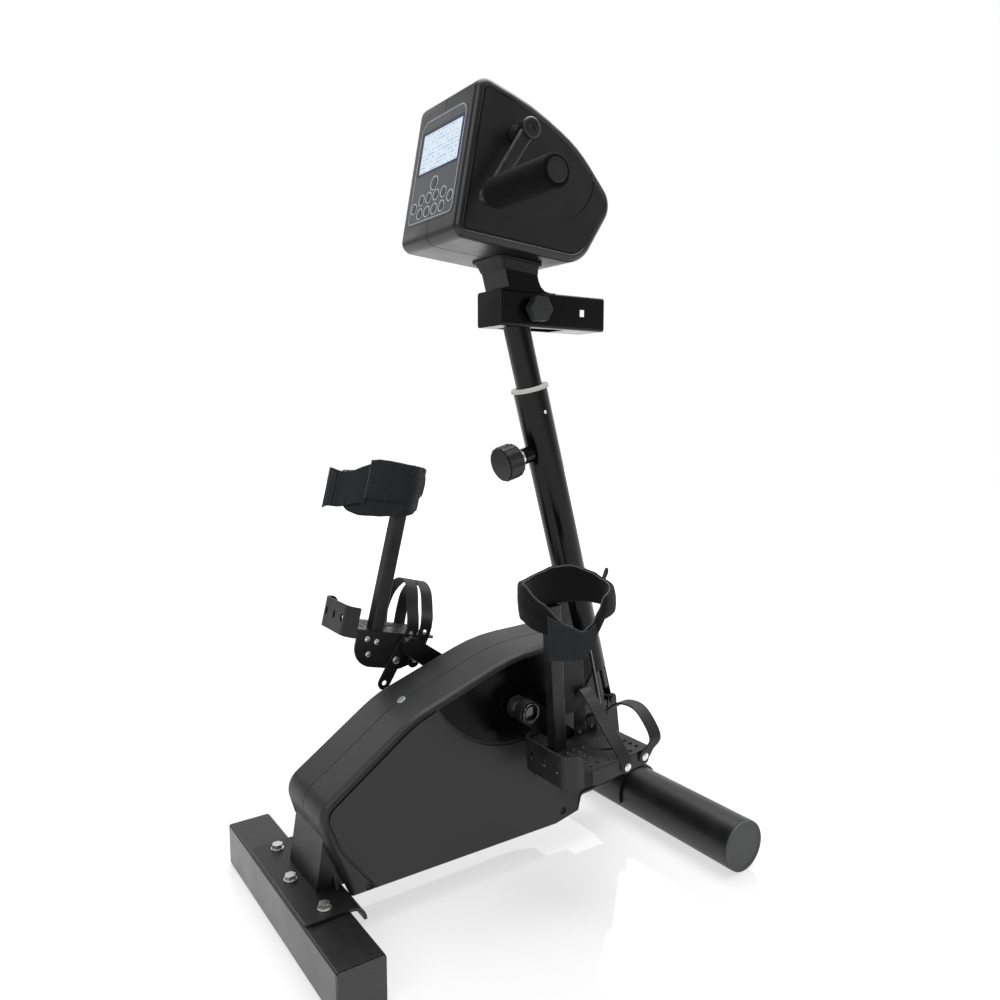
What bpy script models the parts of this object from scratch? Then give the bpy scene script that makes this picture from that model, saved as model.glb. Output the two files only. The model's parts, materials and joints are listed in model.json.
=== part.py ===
# Electric pedal exerciser: floor-standing leg and arm trainer with a motor for each pair of cranks.
# Metres, +Z up. X runs across the machine, +X at the user's right hand; the user sits at -Y.
# The origin is on the floor, under the middle of the machine.
import math

import bmesh
import bpy
from mathutils import Matrix, Vector

# Fits
GAP = 0.0003            # between pieces that touch
RUNNING_GAP = 0.0004    # between a shaft or slide and its bore, per side
BOLT_GAP = 0.0004       # between a bolt and its hole, per side

# Overall
LENGTH = 0.641          # front face of the front foot to the back of the rear foot
FRONT_Y = -LENGTH / 2
REAR_Y = LENGTH / 2

# Front foot
FRONT_FOOT_LENGTH = 0.390
FRONT_FOOT_SECTION = 0.060
FRONT_FOOT_CORNER = 0.003
FOOT_WALL = 0.002
FRONT_CAP_FLANGE = 0.003
FRONT_CAP_DEPTH = 0.016
FRONT_FOOT_Y = FRONT_Y + FRONT_FOOT_SECTION / 2

# Rear foot
REAR_FOOT_LENGTH = 0.495
REAR_FOOT_RADIUS = 0.038
REAR_CAP_FLANGE = 0.0035
REAR_CAP_DEPTH = 0.018
REAR_CAP_RIM = 0.004
REAR_CAP_RECESS = 0.0012
REAR_FOOT_Y = REAR_Y - REAR_FOOT_RADIUS

# Saddles and foot bolts
SADDLE_WIDTH = 0.204
SADDLE_THICKNESS = 0.004
SADDLE_FRONT_MARGIN = 0.0025
SADDLE_CORNER = 0.010
SADDLE_LIP_RADIUS = 0.016
BOLT_RADIUS = 0.004
BOLT_HEAD_RADIUS = 0.0075
BOLT_HEAD_HEIGHT = 0.0055
WASHER_RADIUS = 0.0088
WASHER_THICKNESS = 0.0015
FRONT_BOLT_X = 0.082
FRONT_BOLT_Y = 0.033            # from the foot's front face
CENTRE_BOLT_Y = 0.021
NUT_PLATE_THICKNESS = 0.004
REAR_SADDLE_WIDTH = 0.062
REAR_SADDLE_FROM = 35.0         # degrees round the rear tube, 0 at its back, 90 on top
REAR_SADDLE_TO = 200.0
REAR_BOLT_ANGLE = 62.0
REAR_BOLT_X = 0.020

# Main frame
UPRIGHT_WIDTH = 0.092
UPRIGHT_WALL = 0.004
UPRIGHT_FOOT_FRONT = 0.0370     # distances from the foot's front face
UPRIGHT_KNEE_FRONT = 0.0475
UPRIGHT_KNEE_Z = 0.128
UPRIGHT_TOP_FRONT = 0.0640
UPRIGHT_TOP_Z = 0.170
UPRIGHT_DEPTH = 0.046
GUSSET_REACH = 0.012
GUSSET_HEIGHT = 0.030
GUSSET_THICKNESS = 0.004
BEAM_WIDTH = 0.040
BEAM_HEIGHT = 0.038
BEAM_WALL = 0.003
BEAM_BOTTOM = 0.068
BRACKET_SHELL_RADIUS = 0.021
BRACKET_SHELL_LENGTH = 0.068
BRACKET_BORE_RADIUS = 0.0178
WEB_THICKNESS = 0.004
WEB_SPACING = 0.031
MOTOR_PLATE_THICKNESS = 0.004
MOTOR_PLATE_LENGTH = 0.084
MOTOR_PLATE_WIDTH = 0.070

# Post
POST_BASE_Y = 0.2009
POST_BASE_Z = 0.254
POST_LEAN = 15.54               # degrees, top towards the user
OUTER_POST_RADIUS = 0.025
OUTER_POST_WALL = 0.002
OUTER_POST_LENGTH = 0.4525
TONGUE_LENGTH = 0.062
TONGUE_HALF_ANGLE = 22.5
BARREL_RADIUS = 0.006
BARREL_LENGTH = 0.020
BARREL_OFFSET = 0.0205
LUG_THICKNESS = 0.003
LUG_RADIUS = 0.009
LUG_BOLT_RADIUS = 0.003
STUB_NECK_RADIUS = 0.0135
STUB_PLUG_LENGTH = 0.070
STUB_PLUG_WALL = 0.003
BUSHING_RADIUS = 0.028
BUSHING_FLANGE = 0.006
BUSHING_DEPTH = 0.056
INNER_POST_RADIUS = 0.019
INNER_POST_WALL = 0.002
INNER_POST_START = 0.165        # along the post, above the outer tube's lower end
PIN_STATION = 0.363             # the pull pin's place along the post
PIN_RADIUS = 0.005
PIN_COLLAR_RADIUS = 0.012
PIN_COLLAR_LENGTH = 0.015
PIN_SLEEVE_RADIUS = 0.0105
PIN_SLEEVE_LENGTH = 0.013
PIN_KNOB_RADIUS = 0.026
PIN_KNOB_LENGTH = 0.026
PIN_KNOB_FLUTES = 16
PIN_KNOB_FLUTE_DEPTH = 0.0014
PIN_HOLE_PITCH = 0.030
PIN_HOLE_COUNT = 6

# Fairing
FAIRING_HALF_WIDTH = 0.060
FAIRING_WALL = 0.0025
FAIRING_EDGE = 0.009
FAIRING_RECESS = 0.0012
FAIRING_RIM = 0.008
SWEEP_RADIUS = 0.159            # the round recess behind the crank
SWEEP_Y = 0.0195
SWEEP_Z = 0.349
AXLE_HOLE_GAP = 0.0012
SHELL_SCREW_RADIUS = 0.0042
SHELL_SCREWS = ((-0.1985, 0.0590), (0.1230, 0.0640))

# Lower drive
CRANK_Y = 0.0099
CRANK_Z = 0.2485
CRANK_LENGTH = 0.1046
CRANK_ANGLE = -36.84            # degrees, right crank, 0 away from the user, 90 up
AXLE_RADIUS = 0.0085
AXLE_FLANGE_RADIUS = 0.0155
AXLE_FLANGE_THICKNESS = 0.006
AXLE_FLANGE_X = 0.0635
ARM_INNER_X = 0.083
ARM_THICKNESS = 0.014
ARM_AXLE_END_RADIUS = 0.0165
ARM_SPINDLE_END_RADIUS = 0.0140
ARM_HUB_RADIUS = 0.0135
ARM_HUB_LENGTH = 0.005
ARM_CAP = 0.0015                # skin left over the axle's end
ARM_CAP_RADIUS = 0.0115         # the raised cap over it
ARM_CAP_PROUD = 0.0025
SPINDLE_RADIUS = 0.006
SPINDLE_NUT_RADIUS = 0.0085
SPINDLE_NUT_THICKNESS = 0.005
CARTRIDGE_FLANGE_RADIUS = 0.0205
CARTRIDGE_FLANGE_THICKNESS = 0.003
PULLEY_X = -0.046
PULLEY_WIDTH = 0.012
CRANK_PULLEY_RADIUS = 0.050
MOTOR_PULLEY_RADIUS = 0.0125
PULLEY_LIP = 0.001
BELT_THICKNESS = 0.0025
BELT_WIDTH = 0.009
MOTOR_Y = -0.1205
MOTOR_Z = 0.155
MOTOR_RADIUS = 0.038
MOTOR_FACE_X = -0.032
MOTOR_BODY_LENGTH = 0.076
MOTOR_SHAFT_RADIUS = 0.004
MOTOR_SHAFT_DEPTH = 0.050
MOTOR_FOOT_WIDTH = 0.050
MOTOR_FOOT_LENGTH = 0.060
MOTOR_FOOT_X = 0.006            # behind the motor's face
MOTOR_EDGE = 0.004
MOTOR_NOSE_RADIUS = 0.014
MOTOR_NOSE_LENGTH = 0.004

# Pedals, in each pedal's own frame: out from the machine's middle, towards the toe, up; origin on the spindle
RIGHT_PEDAL_PITCH = 3.5         # degrees, toe up
LEFT_PEDAL_PITCH = -14.0
SIDE_PLATE_X = 0.103
SHEET = 0.003                   # pedal sheet metal
FOOTPLATE_OUTER_X = 0.197
FOOTPLATE_TOE = 0.0495
FOOTPLATE_TOP = 0.015
FLANGE_BOTTOM = -0.0085
FLANGE_HEEL = -0.058
SIDE_DISC_BOTTOM = -0.0385
HUB_RADIUS = 0.0125
HUB_END_X = 0.188
PUNCH_RADIUS = 0.0024
SLOT_RADIUS = 0.0028
NUB_RADIUS = 0.0032
NUB_HEAD_RADIUS = 0.0055
NUB_HEAD_THICKNESS = 0.0013
HEEL_INNER_X = 0.104
HEEL_OUTER_X = 0.204
HEEL_Y = -0.1025
HEEL_BEND = 0.018
HEEL_RETURN = 0.008             # how far the outer end runs on towards the toe
HEEL_GAP = 0.0015               # between the heel cup and the footplate inside it
HEEL_BOTTOM = 0.001
HEEL_TOP = 0.0455
HEEL_CORNER = 0.014
HEEL_SLOT_RADIUS = 0.0038
HEEL_SLOT_PITCH = 0.027
TONGUE_X = (0.130, 0.180)
CALF_POST_SECTION = 0.020
CALF_POST_WALL = 0.002
CALF_POST_Y = -0.0505
CALF_POST_TOP = 0.219
CALF_TAB_TOP = 0.262
CALF_TAB_WIDTH = 0.024
CUFF_Y = -0.0625
CUFF_HALF_X = 0.0555
CUFF_HALF_Y = 0.066
CUFF_WALL = 0.008
CUFF_BOTTOM = 0.2195
CUFF_HEIGHT = 0.053
CUFF_INNER_X = 0.1105
CUFF_ROLL = 0.0022              # the rounded hem
CUFF_CROWN = 0.0012
STRAP_WIDTH = 0.020
STRAP_THICKNESS = 0.0024
STRAP_HOLE_RADIUS = 0.0038
CUFF_TAIL_THICKNESS = 0.005
CUFF_TAIL_REACH = 0.016         # how far the left cuff's free end stands off towards the user
CUFF_FLAP_X = (0.128, 0.190)    # the right cuff's hanging flap, at its lower edge
CUFF_FLAP_DROP = 0.032
OUTER_NUBS = ((0.0028, 0.0012), (0.0350, 0.0060))       # towards the toe, up: instep strap, toe strap
INNER_NUBS = ((-0.0134, -0.0247), (0.0180, -0.0200))
STRAP_END_HOLE = 0.78           # the instep strap's last hole, as a share of its free end

# Each strap on each side: its outer nub, the points of its arch (outwards, towards the toe, up), the hole
# above its inner nub, the inner nub and the free end
TOE_INNER = ((0.0262, 0.0212), (0.0180, -0.0200), (0.0150, -0.0340))
INSTEP_INNER = ((0.0030, 0.0171), (-0.0134, -0.0247), (-0.0281, -0.0700))
STRAP_ROUTES = {
    ("toe_strap", 1): (OUTER_NUBS[1], ((0.0020, 0.045, 0.045), (-0.004, 0.058, 0.064), (-0.030, 0.054, 0.086),
                                       (-0.062, 0.040, 0.080), (-0.086, 0.030, 0.048)), *TOE_INNER),
    ("toe_strap", -1): (OUTER_NUBS[1], ((0.0020, 0.036, 0.040), (-0.006, 0.034, 0.068),
                                        (-0.034, 0.032, 0.090), (-0.066, 0.031, 0.082),
                                        (-0.086, 0.030, 0.052)), *TOE_INNER),
    ("instep_strap", 1): (OUTER_NUBS[0], ((0.0010, -0.002, 0.040), (-0.008, -0.006, 0.068),
                                          (-0.036, -0.008, 0.090), (-0.066, -0.004, 0.086),
                                          (-0.087, 0.002, 0.054)), *INSTEP_INNER),
    ("instep_strap", -1): (OUTER_NUBS[0], ((0.0010, 0.001, 0.038), (-0.008, 0.003, 0.068),
                                           (-0.034, 0.006, 0.090), (-0.064, 0.006, 0.086),
                                           (-0.086, 0.004, 0.052)), *INSTEP_INNER),
}

# Head bracket
SLEEVE_WIDTH = 0.060
SLEEVE_BOTTOM = 0.777
SLEEVE_HEIGHT = 0.049
SLEEVE_FRONT_Y = 0.0085
SLEEVE_LENGTH = 0.185
SLEEVE_WALL = 0.0025
SLEEVE_CORNER = 0.004
SLIDE_GAP = 0.0005
HEAD_SLIDE = 0.050              # how far the head comes towards the user
TBAR_LENGTH = 0.100
TBAR_WALL = 0.003
SQUARE_HOLE = 0.010
SQUARE_HOLE_Y = 0.1521
NECK_DEPTH = 0.054
NECK_WALL = 0.004
NECK_Y = 0.0496                 # middle of the neck where it meets the sleeve
NECK_TOP_Z = 0.880
NECK_FILLET = 0.020
BOOT_MARGIN = 0.0045
BOOT_HEIGHT = 0.017
BOOT_BOTTOM_Z = 0.8455
STAR_Y = 0.0655
STAR_RADIUS = 0.019
STAR_LOBES = 6
STAR_DEPTH = 0.0028
STAR_THICKNESS = 0.014
STAR_SCREW_RADIUS = 0.004
STAR_BOSS_RADIUS = 0.009
STAR_BOSS_THICKNESS = 0.003

# Head
HEAD_HALF_WIDTH = 0.075
HEAD_WALL = 0.0025
HEAD_EDGE = 0.006
HEAD_RIM = 0.002
HEAD_RECESS = 0.0012
HAND_HEAD_FACE = HEAD_HALF_WIDTH - HEAD_RECESS
HAND_Y = -0.0005
HAND_Z = 1.012
HAND_LENGTH = 0.1093
HAND_ANGLE = -124.6             # degrees, right hand crank
HAND_AXLE_RADIUS = 0.007
HAND_FLANGE_RADIUS = 0.0115
HAND_FLANGE_THICKNESS = 0.004
HAND_ARM_X = 0.098
HAND_ARM_THICKNESS = 0.011
HAND_ARM_LINK = 0.0075
HAND_BOSS_RADIUS = 0.0135
HAND_BOSS_LENGTH = 0.014
HAND_END_RADIUS = 0.0095
STUD_RADIUS = 0.004
GRIP_START_X = 0.1125
GRIP_END_X = 0.240
GRIP_RADIUS = 0.019
GRIP_NECK_RADIUS = 0.0155
GRIP_END_CAP = 0.005
HAND_MOTOR_RADIUS = 0.040
HAND_MOTOR_HALF = 0.032
CHEEK_THICKNESS = 0.003
CHEEK_RADIUS = 0.022

# Console, in the plane of the head's front face: across, up, out
CONSOLE_UP = 0.10426            # its middle, from the face's lower corner
PANEL_WIDTH = 0.118
PANEL_HEIGHT = 0.145
PANEL_THICKNESS = 0.003
PANEL_CORNER = 0.010
PANEL_PROUD = 0.0004
LCD_WIDTH = 0.100
LCD_HEIGHT = 0.054
LCD_UP = 0.0255
LCD_THICKNESS = 0.0045
LCD_SUNK = 0.0008
BUTTON_RADIUS = 0.0060
LARGE_BUTTON_RADIUS = 0.0080
BUTTON_PROUD = 0.0008
BUTTON_LIP = 0.0012
BUTTON_LIP_THICKNESS = 0.0012
BUTTON_TRAVEL = 0.0006
BOARD_DEPTH = 0.0092            # from the face to the board's front
BOARD_THICKNESS = 0.0016
STANDOFF_RADIUS = 0.0028
BUTTON_COLUMNS = (-0.0285, -0.0095, 0.0095, 0.0285)
BUTTON_ROWS = (-0.0400, -0.0585)
OUTER_BUTTON_X = 0.0470
OUTER_BUTTON_UP = -0.0485
LARGE_BUTTON_UP = -0.0225

# Directions: an outline's two axes and its thickness, as seen from the side, from the front and from above
SIDE = Matrix(((0, 0, 1, 0), (1, 0, 0, 0), (0, 1, 0, 0), (0, 0, 0, 1)))
FRONT = Matrix(((1, 0, 0, 0), (0, 0, -1, 0), (0, 1, 0, 0), (0, 0, 0, 1)))
TOP = Matrix.Identity(4)
ALONG_X = Matrix.Rotation(math.radians(90), 4, "Y")

for old in list(bpy.data.objects):
    bpy.data.objects.remove(old)

parts = bpy.data.collections.new("pedal_exerciser")
cutters = bpy.data.collections.new("cutters")
bpy.context.scene.collection.children.link(parts)
bpy.context.scene.collection.children.link(cutters)


# Materials

def material(name, colour, roughness, metallic=0.0):
    made = bpy.data.materials.new(name)
    made.use_nodes = True
    shader = made.node_tree.nodes["Principled BSDF"]
    shader.inputs["Base Color"].default_value = (*colour, 1.0)
    shader.inputs["Roughness"].default_value = roughness
    shader.inputs["Metallic"].default_value = metallic
    return made


BLACK_PAINT = (0.012, 0.012, 0.013)
BLACK_PLASTIC = (0.016, 0.016, 0.017)
BLACK_RUBBER = (0.014, 0.014, 0.014)
BLACK_FABRIC = (0.010, 0.010, 0.011)
GREY_PANEL = (0.060, 0.063, 0.068)
SCREEN_BLUE = (0.60, 0.75, 0.95)
ZINC = (0.62, 0.61, 0.57)
STEEL = (0.50, 0.50, 0.50)
WHITE_NYLON = (0.80, 0.80, 0.78)
BOARD_GREEN = (0.02, 0.14, 0.06)


# Outlines

def arc(centre, radius, start, end, steps):
    """Points on a circle, angles in degrees."""
    points = []
    for i in range(steps + 1):
        angle = math.radians(start + (end - start) * i / steps)
        points.append((centre[0] + radius * math.cos(angle), centre[1] + radius * math.sin(angle)))
    return points


def circle(centre, radius, steps=24):
    return arc(centre, radius, 0, 360, steps)[:-1]


def filleted(corners, degrees_per_step=22.5, repeat=False):
    """A closed outline from corners (a, b, radius); repeat gives sharp corners as many points as round."""
    points = []
    count = len(corners)
    for i, (a, b, radius) in enumerate(corners):
        here = Vector((a, b))
        before = (Vector(corners[i - 1][:2]) - here).normalized()
        after = (Vector(corners[(i + 1) % count][:2]) - here).normalized()
        turn = math.pi - before.angle(after)
        steps = max(2, round(math.degrees(turn) / degrees_per_step))
        if radius <= 0 or turn < 0.01:
            points += [(a, b)] * (steps + 1 if repeat and turn >= 0.01 else 1)
            continue
        reach = radius * math.tan(turn / 2)
        middle = here + (before + after).normalized() * radius / math.cos(turn / 2)
        first = here + before * reach - middle
        sweep = first.angle_signed(here + after * reach - middle)
        for k in range(steps + 1):
            spun = first.copy()
            spun.rotate(Matrix.Rotation(-sweep * k / steps, 2))
            points.append((middle.x + spun.x, middle.y + spun.y))
    return points


def rounded_box(width, height, radius, centre=(0.0, 0.0)):
    a, b = width / 2, height / 2
    corners = [(-a, -b, radius), (a, -b, radius), (a, b, radius), (-a, b, radius)]
    return filleted([(centre[0] + x, centre[1] + y, r) for x, y, r in corners], 30)


def inset_corners(corners, distance):
    """The same outline, moved inwards by a distance; the corners run anticlockwise."""
    moved = []
    count = len(corners)
    for i, (a, b, radius) in enumerate(corners):
        here = Vector((a, b))
        before = (here - Vector(corners[i - 1][:2])).normalized()
        after = (Vector(corners[(i + 1) % count][:2]) - here).normalized()
        left_before = Vector((-before.y, before.x))
        left_after = Vector((-after.y, after.x))
        bisector = (left_before + left_after).normalized()
        reach = distance / max(bisector.dot(left_before), 0.2)
        bulge = before.x * after.y - before.y * after.x
        new_radius = max(radius - distance, 0.0) if bulge > 0 else radius + distance
        point = here + bisector * reach
        moved.append((point.x, point.y, new_radius))
    return moved


def hull_of_circles(first, first_radius, second, second_radius, steps=20):
    """The outline of a belt or a link round two circles."""
    a = Vector(first)
    b = Vector(second)
    run = b - a
    heading = math.degrees(math.atan2(run.y, run.x))
    lean = math.degrees(math.acos((first_radius - second_radius) / run.length))
    return (arc(first, first_radius, heading + lean, heading + 360 - lean, steps)
            + arc(second, second_radius, heading - lean, heading + lean, steps // 2))


def smooth_path(points, steps):
    """Points on a smooth curve through the given points."""
    path = []
    last = len(points) - 1
    for i in range(last):
        p0 = Vector(points[max(i - 1, 0)])
        p1 = Vector(points[i])
        p2 = Vector(points[i + 1])
        p3 = Vector(points[min(i + 2, last)])
        for k in range(steps):
            t = k / steps
            path.append(0.5 * (2 * p1 + (p2 - p0) * t + (2 * p0 - 5 * p1 + 4 * p2 - p3) * t ** 2
                               + (3 * p1 - 3 * p2 + p3 - p0) * t ** 3))
    path.append(Vector(points[last]))
    return path


# Solids

def evaluated_mesh(obj):
    graph = bpy.context.evaluated_depsgraph_get()
    graph.update()
    return bpy.data.meshes.new_from_object(obj.evaluated_get(graph))


def as_mesh(obj):
    """Turns a curve, or a mesh with modifiers, into a plain welded mesh object in world coordinates."""
    mesh = evaluated_mesh(obj)
    mesh.transform(obj.matrix_world)
    edit = bmesh.new()
    edit.from_mesh(mesh)
    bmesh.ops.remove_doubles(edit, verts=edit.verts, dist=0.000002)
    bmesh.ops.recalc_face_normals(edit, faces=edit.faces)
    edit.to_mesh(mesh)
    edit.free()
    made = bpy.data.objects.new(obj.name, mesh)
    cutters.objects.link(made)
    bpy.data.objects.remove(obj)
    return made


def extrusion(outlines, thickness, frame, at=0.0):
    """A flat solid from closed outlines, the first outside, the rest holes, centred at a place."""
    curve = bpy.data.curves.new("outline", "CURVE")
    curve.dimensions = "2D"
    curve.fill_mode = "BOTH"
    curve.extrude = thickness / 2
    for outline in outlines:
        spline = curve.splines.new("POLY")
        spline.points.add(len(outline) - 1)
        for point, (a, b) in zip(spline.points, outline):
            point.co = (a, b, 0.0, 1.0)
        spline.use_cyclic_u = True
    obj = bpy.data.objects.new("outline", curve)
    cutters.objects.link(obj)
    obj.matrix_world = frame @ Matrix.Translation((0, 0, at))
    bpy.context.view_layer.update()
    return as_mesh(obj)


def turned(profile, frame, steps=20):
    """A turned solid round the frame's Z: a profile of (radius, height), down its outer side."""
    mesh = bpy.data.meshes.new("profile")
    edit = bmesh.new()
    points = [edit.verts.new((radius, 0.0, height)) for radius, height in profile]
    for first, second in zip(points, points[1:]):
        edit.edges.new((first, second))
    if profile[0][0] > 0:
        edit.edges.new((points[-1], points[0]))
    edit.to_mesh(mesh)
    edit.free()
    obj = bpy.data.objects.new("profile", mesh)
    cutters.objects.link(obj)
    obj.matrix_world = frame
    screw = obj.modifiers.new("Screw", "SCREW")
    screw.steps = steps
    screw.render_steps = steps
    screw.use_merge_vertices = True
    screw.merge_threshold = 0.00001
    bpy.context.view_layer.update()
    return as_mesh(obj)


def loft(levels, frame, ring_shaped=False):
    """A closed solid through outlines of equal count, each (points, height), or a ring of them."""
    mesh = bpy.data.meshes.new("loft")
    edit = bmesh.new()
    rings = [[edit.verts.new((a, b, height)) for a, b in points] for points, height in levels]
    for first, second in zip(rings, rings[1:] + rings[:1] if ring_shaped else rings[1:]):
        for i in range(len(first)):
            edit.faces.new((first[i - 1], first[i], second[i], second[i - 1]))
    if not ring_shaped:
        edit.faces.new(rings[0])
        edit.faces.new(rings[-1])
    edit.to_mesh(mesh)
    edit.free()
    obj = bpy.data.objects.new("loft", mesh)
    cutters.objects.link(obj)
    obj.matrix_world = frame
    bpy.context.view_layer.update()
    return as_mesh(obj)


def half_shell(corners, half_width, wall, edge, recess, step=18.0):
    """One half of a moulded case: an outline with a rounded outer edge, hollow, open at the seam."""
    def ring(distance, height):
        return filleted(inset_corners(corners, distance), step, True), height

    floor = half_width - wall - recess
    turns = [math.radians(t) for t in (90, 60, 30, 0)]
    levels = [ring(edge * (1 - math.cos(t)), half_width - edge * (1 - math.sin(t))) for t in turns]
    levels += [ring(0, GAP / 2), ring(wall, GAP / 2), ring(wall, floor - edge * 0.6), ring(edge, floor)]
    return loft(levels, SIDE)


def rod(radius, start, end, frame, steps=16):
    """A plain cylinder along the frame's Z."""
    mesh = bpy.data.meshes.new("rod")
    edit = bmesh.new()
    bmesh.ops.create_cone(edit, cap_ends=True, segments=steps, radius1=radius, radius2=radius,
                          depth=end - start, matrix=frame @ Matrix.Translation((0, 0, (start + end) / 2)))
    edit.to_mesh(mesh)
    edit.free()
    obj = bpy.data.objects.new("rod", mesh)
    cutters.objects.link(obj)
    return obj


def block(low, high, frame=TOP):
    """A box between two corners of a frame."""
    low = Vector(low)
    high = Vector(high)
    mesh = bpy.data.meshes.new("block")
    edit = bmesh.new()
    bmesh.ops.create_cube(edit, size=1.0)
    for vertex in edit.verts:
        share = vertex.co + Vector((0.5, 0.5, 0.5))
        vertex.co = Vector(low[i] + (high[i] - low[i]) * share[i] for i in range(3))
    edit.to_mesh(mesh)
    edit.free()
    mesh.transform(frame)
    obj = bpy.data.objects.new("block", mesh)
    cutters.objects.link(obj)
    return obj


def softened(obj, width, segments, chosen):
    """Rounds the edges for which chosen(edge) is true."""
    layer = obj.data.attributes.new("bevel_weight_edge", "FLOAT", "EDGE")
    for edge in obj.data.edges:
        ends = [obj.data.vertices[i].co for i in edge.vertices]
        layer.data[edge.index].value = 1.0 if chosen(ends) else 0.0
    bevel = obj.modifiers.new("Bevel", "BEVEL")
    bevel.width = width
    bevel.segments = segments
    bevel.limit_method = "WEIGHT"
    return as_mesh(obj)


def combined(target, tools, operation):
    """Joins or cuts the target with each tool in turn."""
    for tool in tools:
        tool.hide_render = True
        tool.display_type = "WIRE"
        modifier = target.modifiers.new("Boolean", "BOOLEAN")
        modifier.operation = operation
        modifier.object = tool
    made = as_mesh(target)
    for tool in tools:
        bpy.data.objects.remove(tool)
    return made


def joined(target, *tools):
    return combined(target, tools, "UNION")


def cut(target, *tools):
    return combined(target, tools, "DIFFERENCE")


def ribbon(points, directions, thickness):
    """A band along points, each with its half-width vector, thickened to both sides."""
    mesh = bpy.data.meshes.new("ribbon")
    edit = bmesh.new()
    rails = [(edit.verts.new(p - d), edit.verts.new(p + d)) for p, d in zip(points, directions)]
    for (a, b), (c, d) in zip(rails, rails[1:]):
        edit.faces.new((a, b, d, c))
    edit.to_mesh(mesh)
    edit.free()
    obj = bpy.data.objects.new("ribbon", mesh)
    cutters.objects.link(obj)
    solidify = obj.modifiers.new("Solidify", "SOLIDIFY")
    solidify.thickness = thickness
    solidify.offset = 0.0
    solidify.use_even_offset = True
    return as_mesh(obj)


def moved(obj, matrix):
    obj.data.transform(matrix)
    return obj


def mirrored(obj):
    """The same solid on the other side of the machine's middle."""
    mesh = obj.data.copy()
    mesh.transform(Matrix.Scale(-1, 4, (1, 0, 0)))
    mesh.flip_normals()
    made = bpy.data.objects.new(obj.name, mesh)
    cutters.objects.link(made)
    return made


def mirrored_here(obj):
    made = mirrored(obj)
    bpy.data.objects.remove(obj)
    return made


def finished(obj, name, look, origin=(0.0, 0.0, 0.0)):
    """Names a solid, gives it its material, and puts its origin on its joint or its middle."""
    obj.name = name
    obj.data.name = name
    obj.data.materials.clear()
    obj.data.materials.append(look)
    obj.data.transform(Matrix.Translation(-Vector(origin)))
    obj.location = origin
    obj.data.shade_smooth()
    obj.data.set_sharp_from_angle(angle=math.radians(32))
    cutters.objects.unlink(obj)
    parts.objects.link(obj)
    return obj


# Places that several pieces share

def in_post(along, back=0.0):
    """A frame on the post's axis: Z up the post, X across the machine, Y to the back."""
    base = Matrix.Translation((0, POST_BASE_Y, POST_BASE_Z))
    return base @ Matrix.Rotation(math.radians(POST_LEAN), 4, "X") @ Matrix.Translation((0, back, along))


def along_x(y, z):
    """A frame whose Z runs along +X through a point of the side view."""
    return Matrix.Translation((0, y, z)) @ ALONG_X


# Feet

def front_foot():
    tube_end = FRONT_FOOT_LENGTH / 2 - FRONT_CAP_FLANGE - GAP
    middle = (FRONT_FOOT_Y, FRONT_FOOT_SECTION / 2)
    outside = rounded_box(FRONT_FOOT_SECTION, FRONT_FOOT_SECTION, FRONT_FOOT_CORNER, middle)
    hollow = FRONT_FOOT_SECTION - 2 * FOOT_WALL
    inside = rounded_box(hollow, hollow, FRONT_FOOT_CORNER - FOOT_WALL, middle)
    tube = extrusion([outside, inside], 2 * tube_end, SIDE)
    holes = [rod(BOLT_RADIUS + BOLT_GAP, FRONT_FOOT_SECTION - 2 * FOOT_WALL, FRONT_FOOT_SECTION + 0.005,
                 Matrix.Translation((x, y, 0)), 10) for x, y in front_bolt_places()]
    finished(cut(tube, *holes), "front_foot_tube", material("black_painted_tube", BLACK_PAINT, 0.35))
    look = material("black_plastic_cap", BLACK_PLASTIC, 0.5)
    for side, name in ((1, "right"), (-1, "left")):
        flange_section = FRONT_FOOT_SECTION - 2 * GAP
        flange = extrusion([rounded_box(flange_section, flange_section, FRONT_FOOT_CORNER, middle)],
                           FRONT_CAP_FLANGE, SIDE, side * (FRONT_FOOT_LENGTH - FRONT_CAP_FLANGE) / 2)
        plug_section = hollow - 2 * GAP
        plug = extrusion([rounded_box(plug_section, plug_section, FRONT_FOOT_CORNER - FOOT_WALL, middle),
                          rounded_box(plug_section - 0.006, plug_section - 0.006, 0.002, middle)],
                         FRONT_CAP_DEPTH, SIDE,
                         side * (tube_end - FRONT_CAP_DEPTH / 2 + FRONT_CAP_FLANGE / 2))
        finished(joined(flange, plug), "front_foot_cap_" + name, look,
                 (side * FRONT_FOOT_LENGTH / 2, *middle))


def front_bolt_places():
    return [(-FRONT_BOLT_X, FRONT_Y + FRONT_BOLT_Y), (0.0, FRONT_Y + CENTRE_BOLT_Y),
            (FRONT_BOLT_X, FRONT_Y + FRONT_BOLT_Y)]


def bolt(frame, grip):
    """A hex bolt with its washer on the frame's plane and its shank going down by the grip."""
    washer = rod(WASHER_RADIUS, 0, WASHER_THICKNESS, frame, 14)
    head = rod(BOLT_HEAD_RADIUS, WASHER_THICKNESS / 2, WASHER_THICKNESS + BOLT_HEAD_HEIGHT, frame, 6)
    shank = rod(BOLT_RADIUS, -grip, WASHER_THICKNESS / 2, frame, 8)
    return joined(washer, head, shank)


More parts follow.
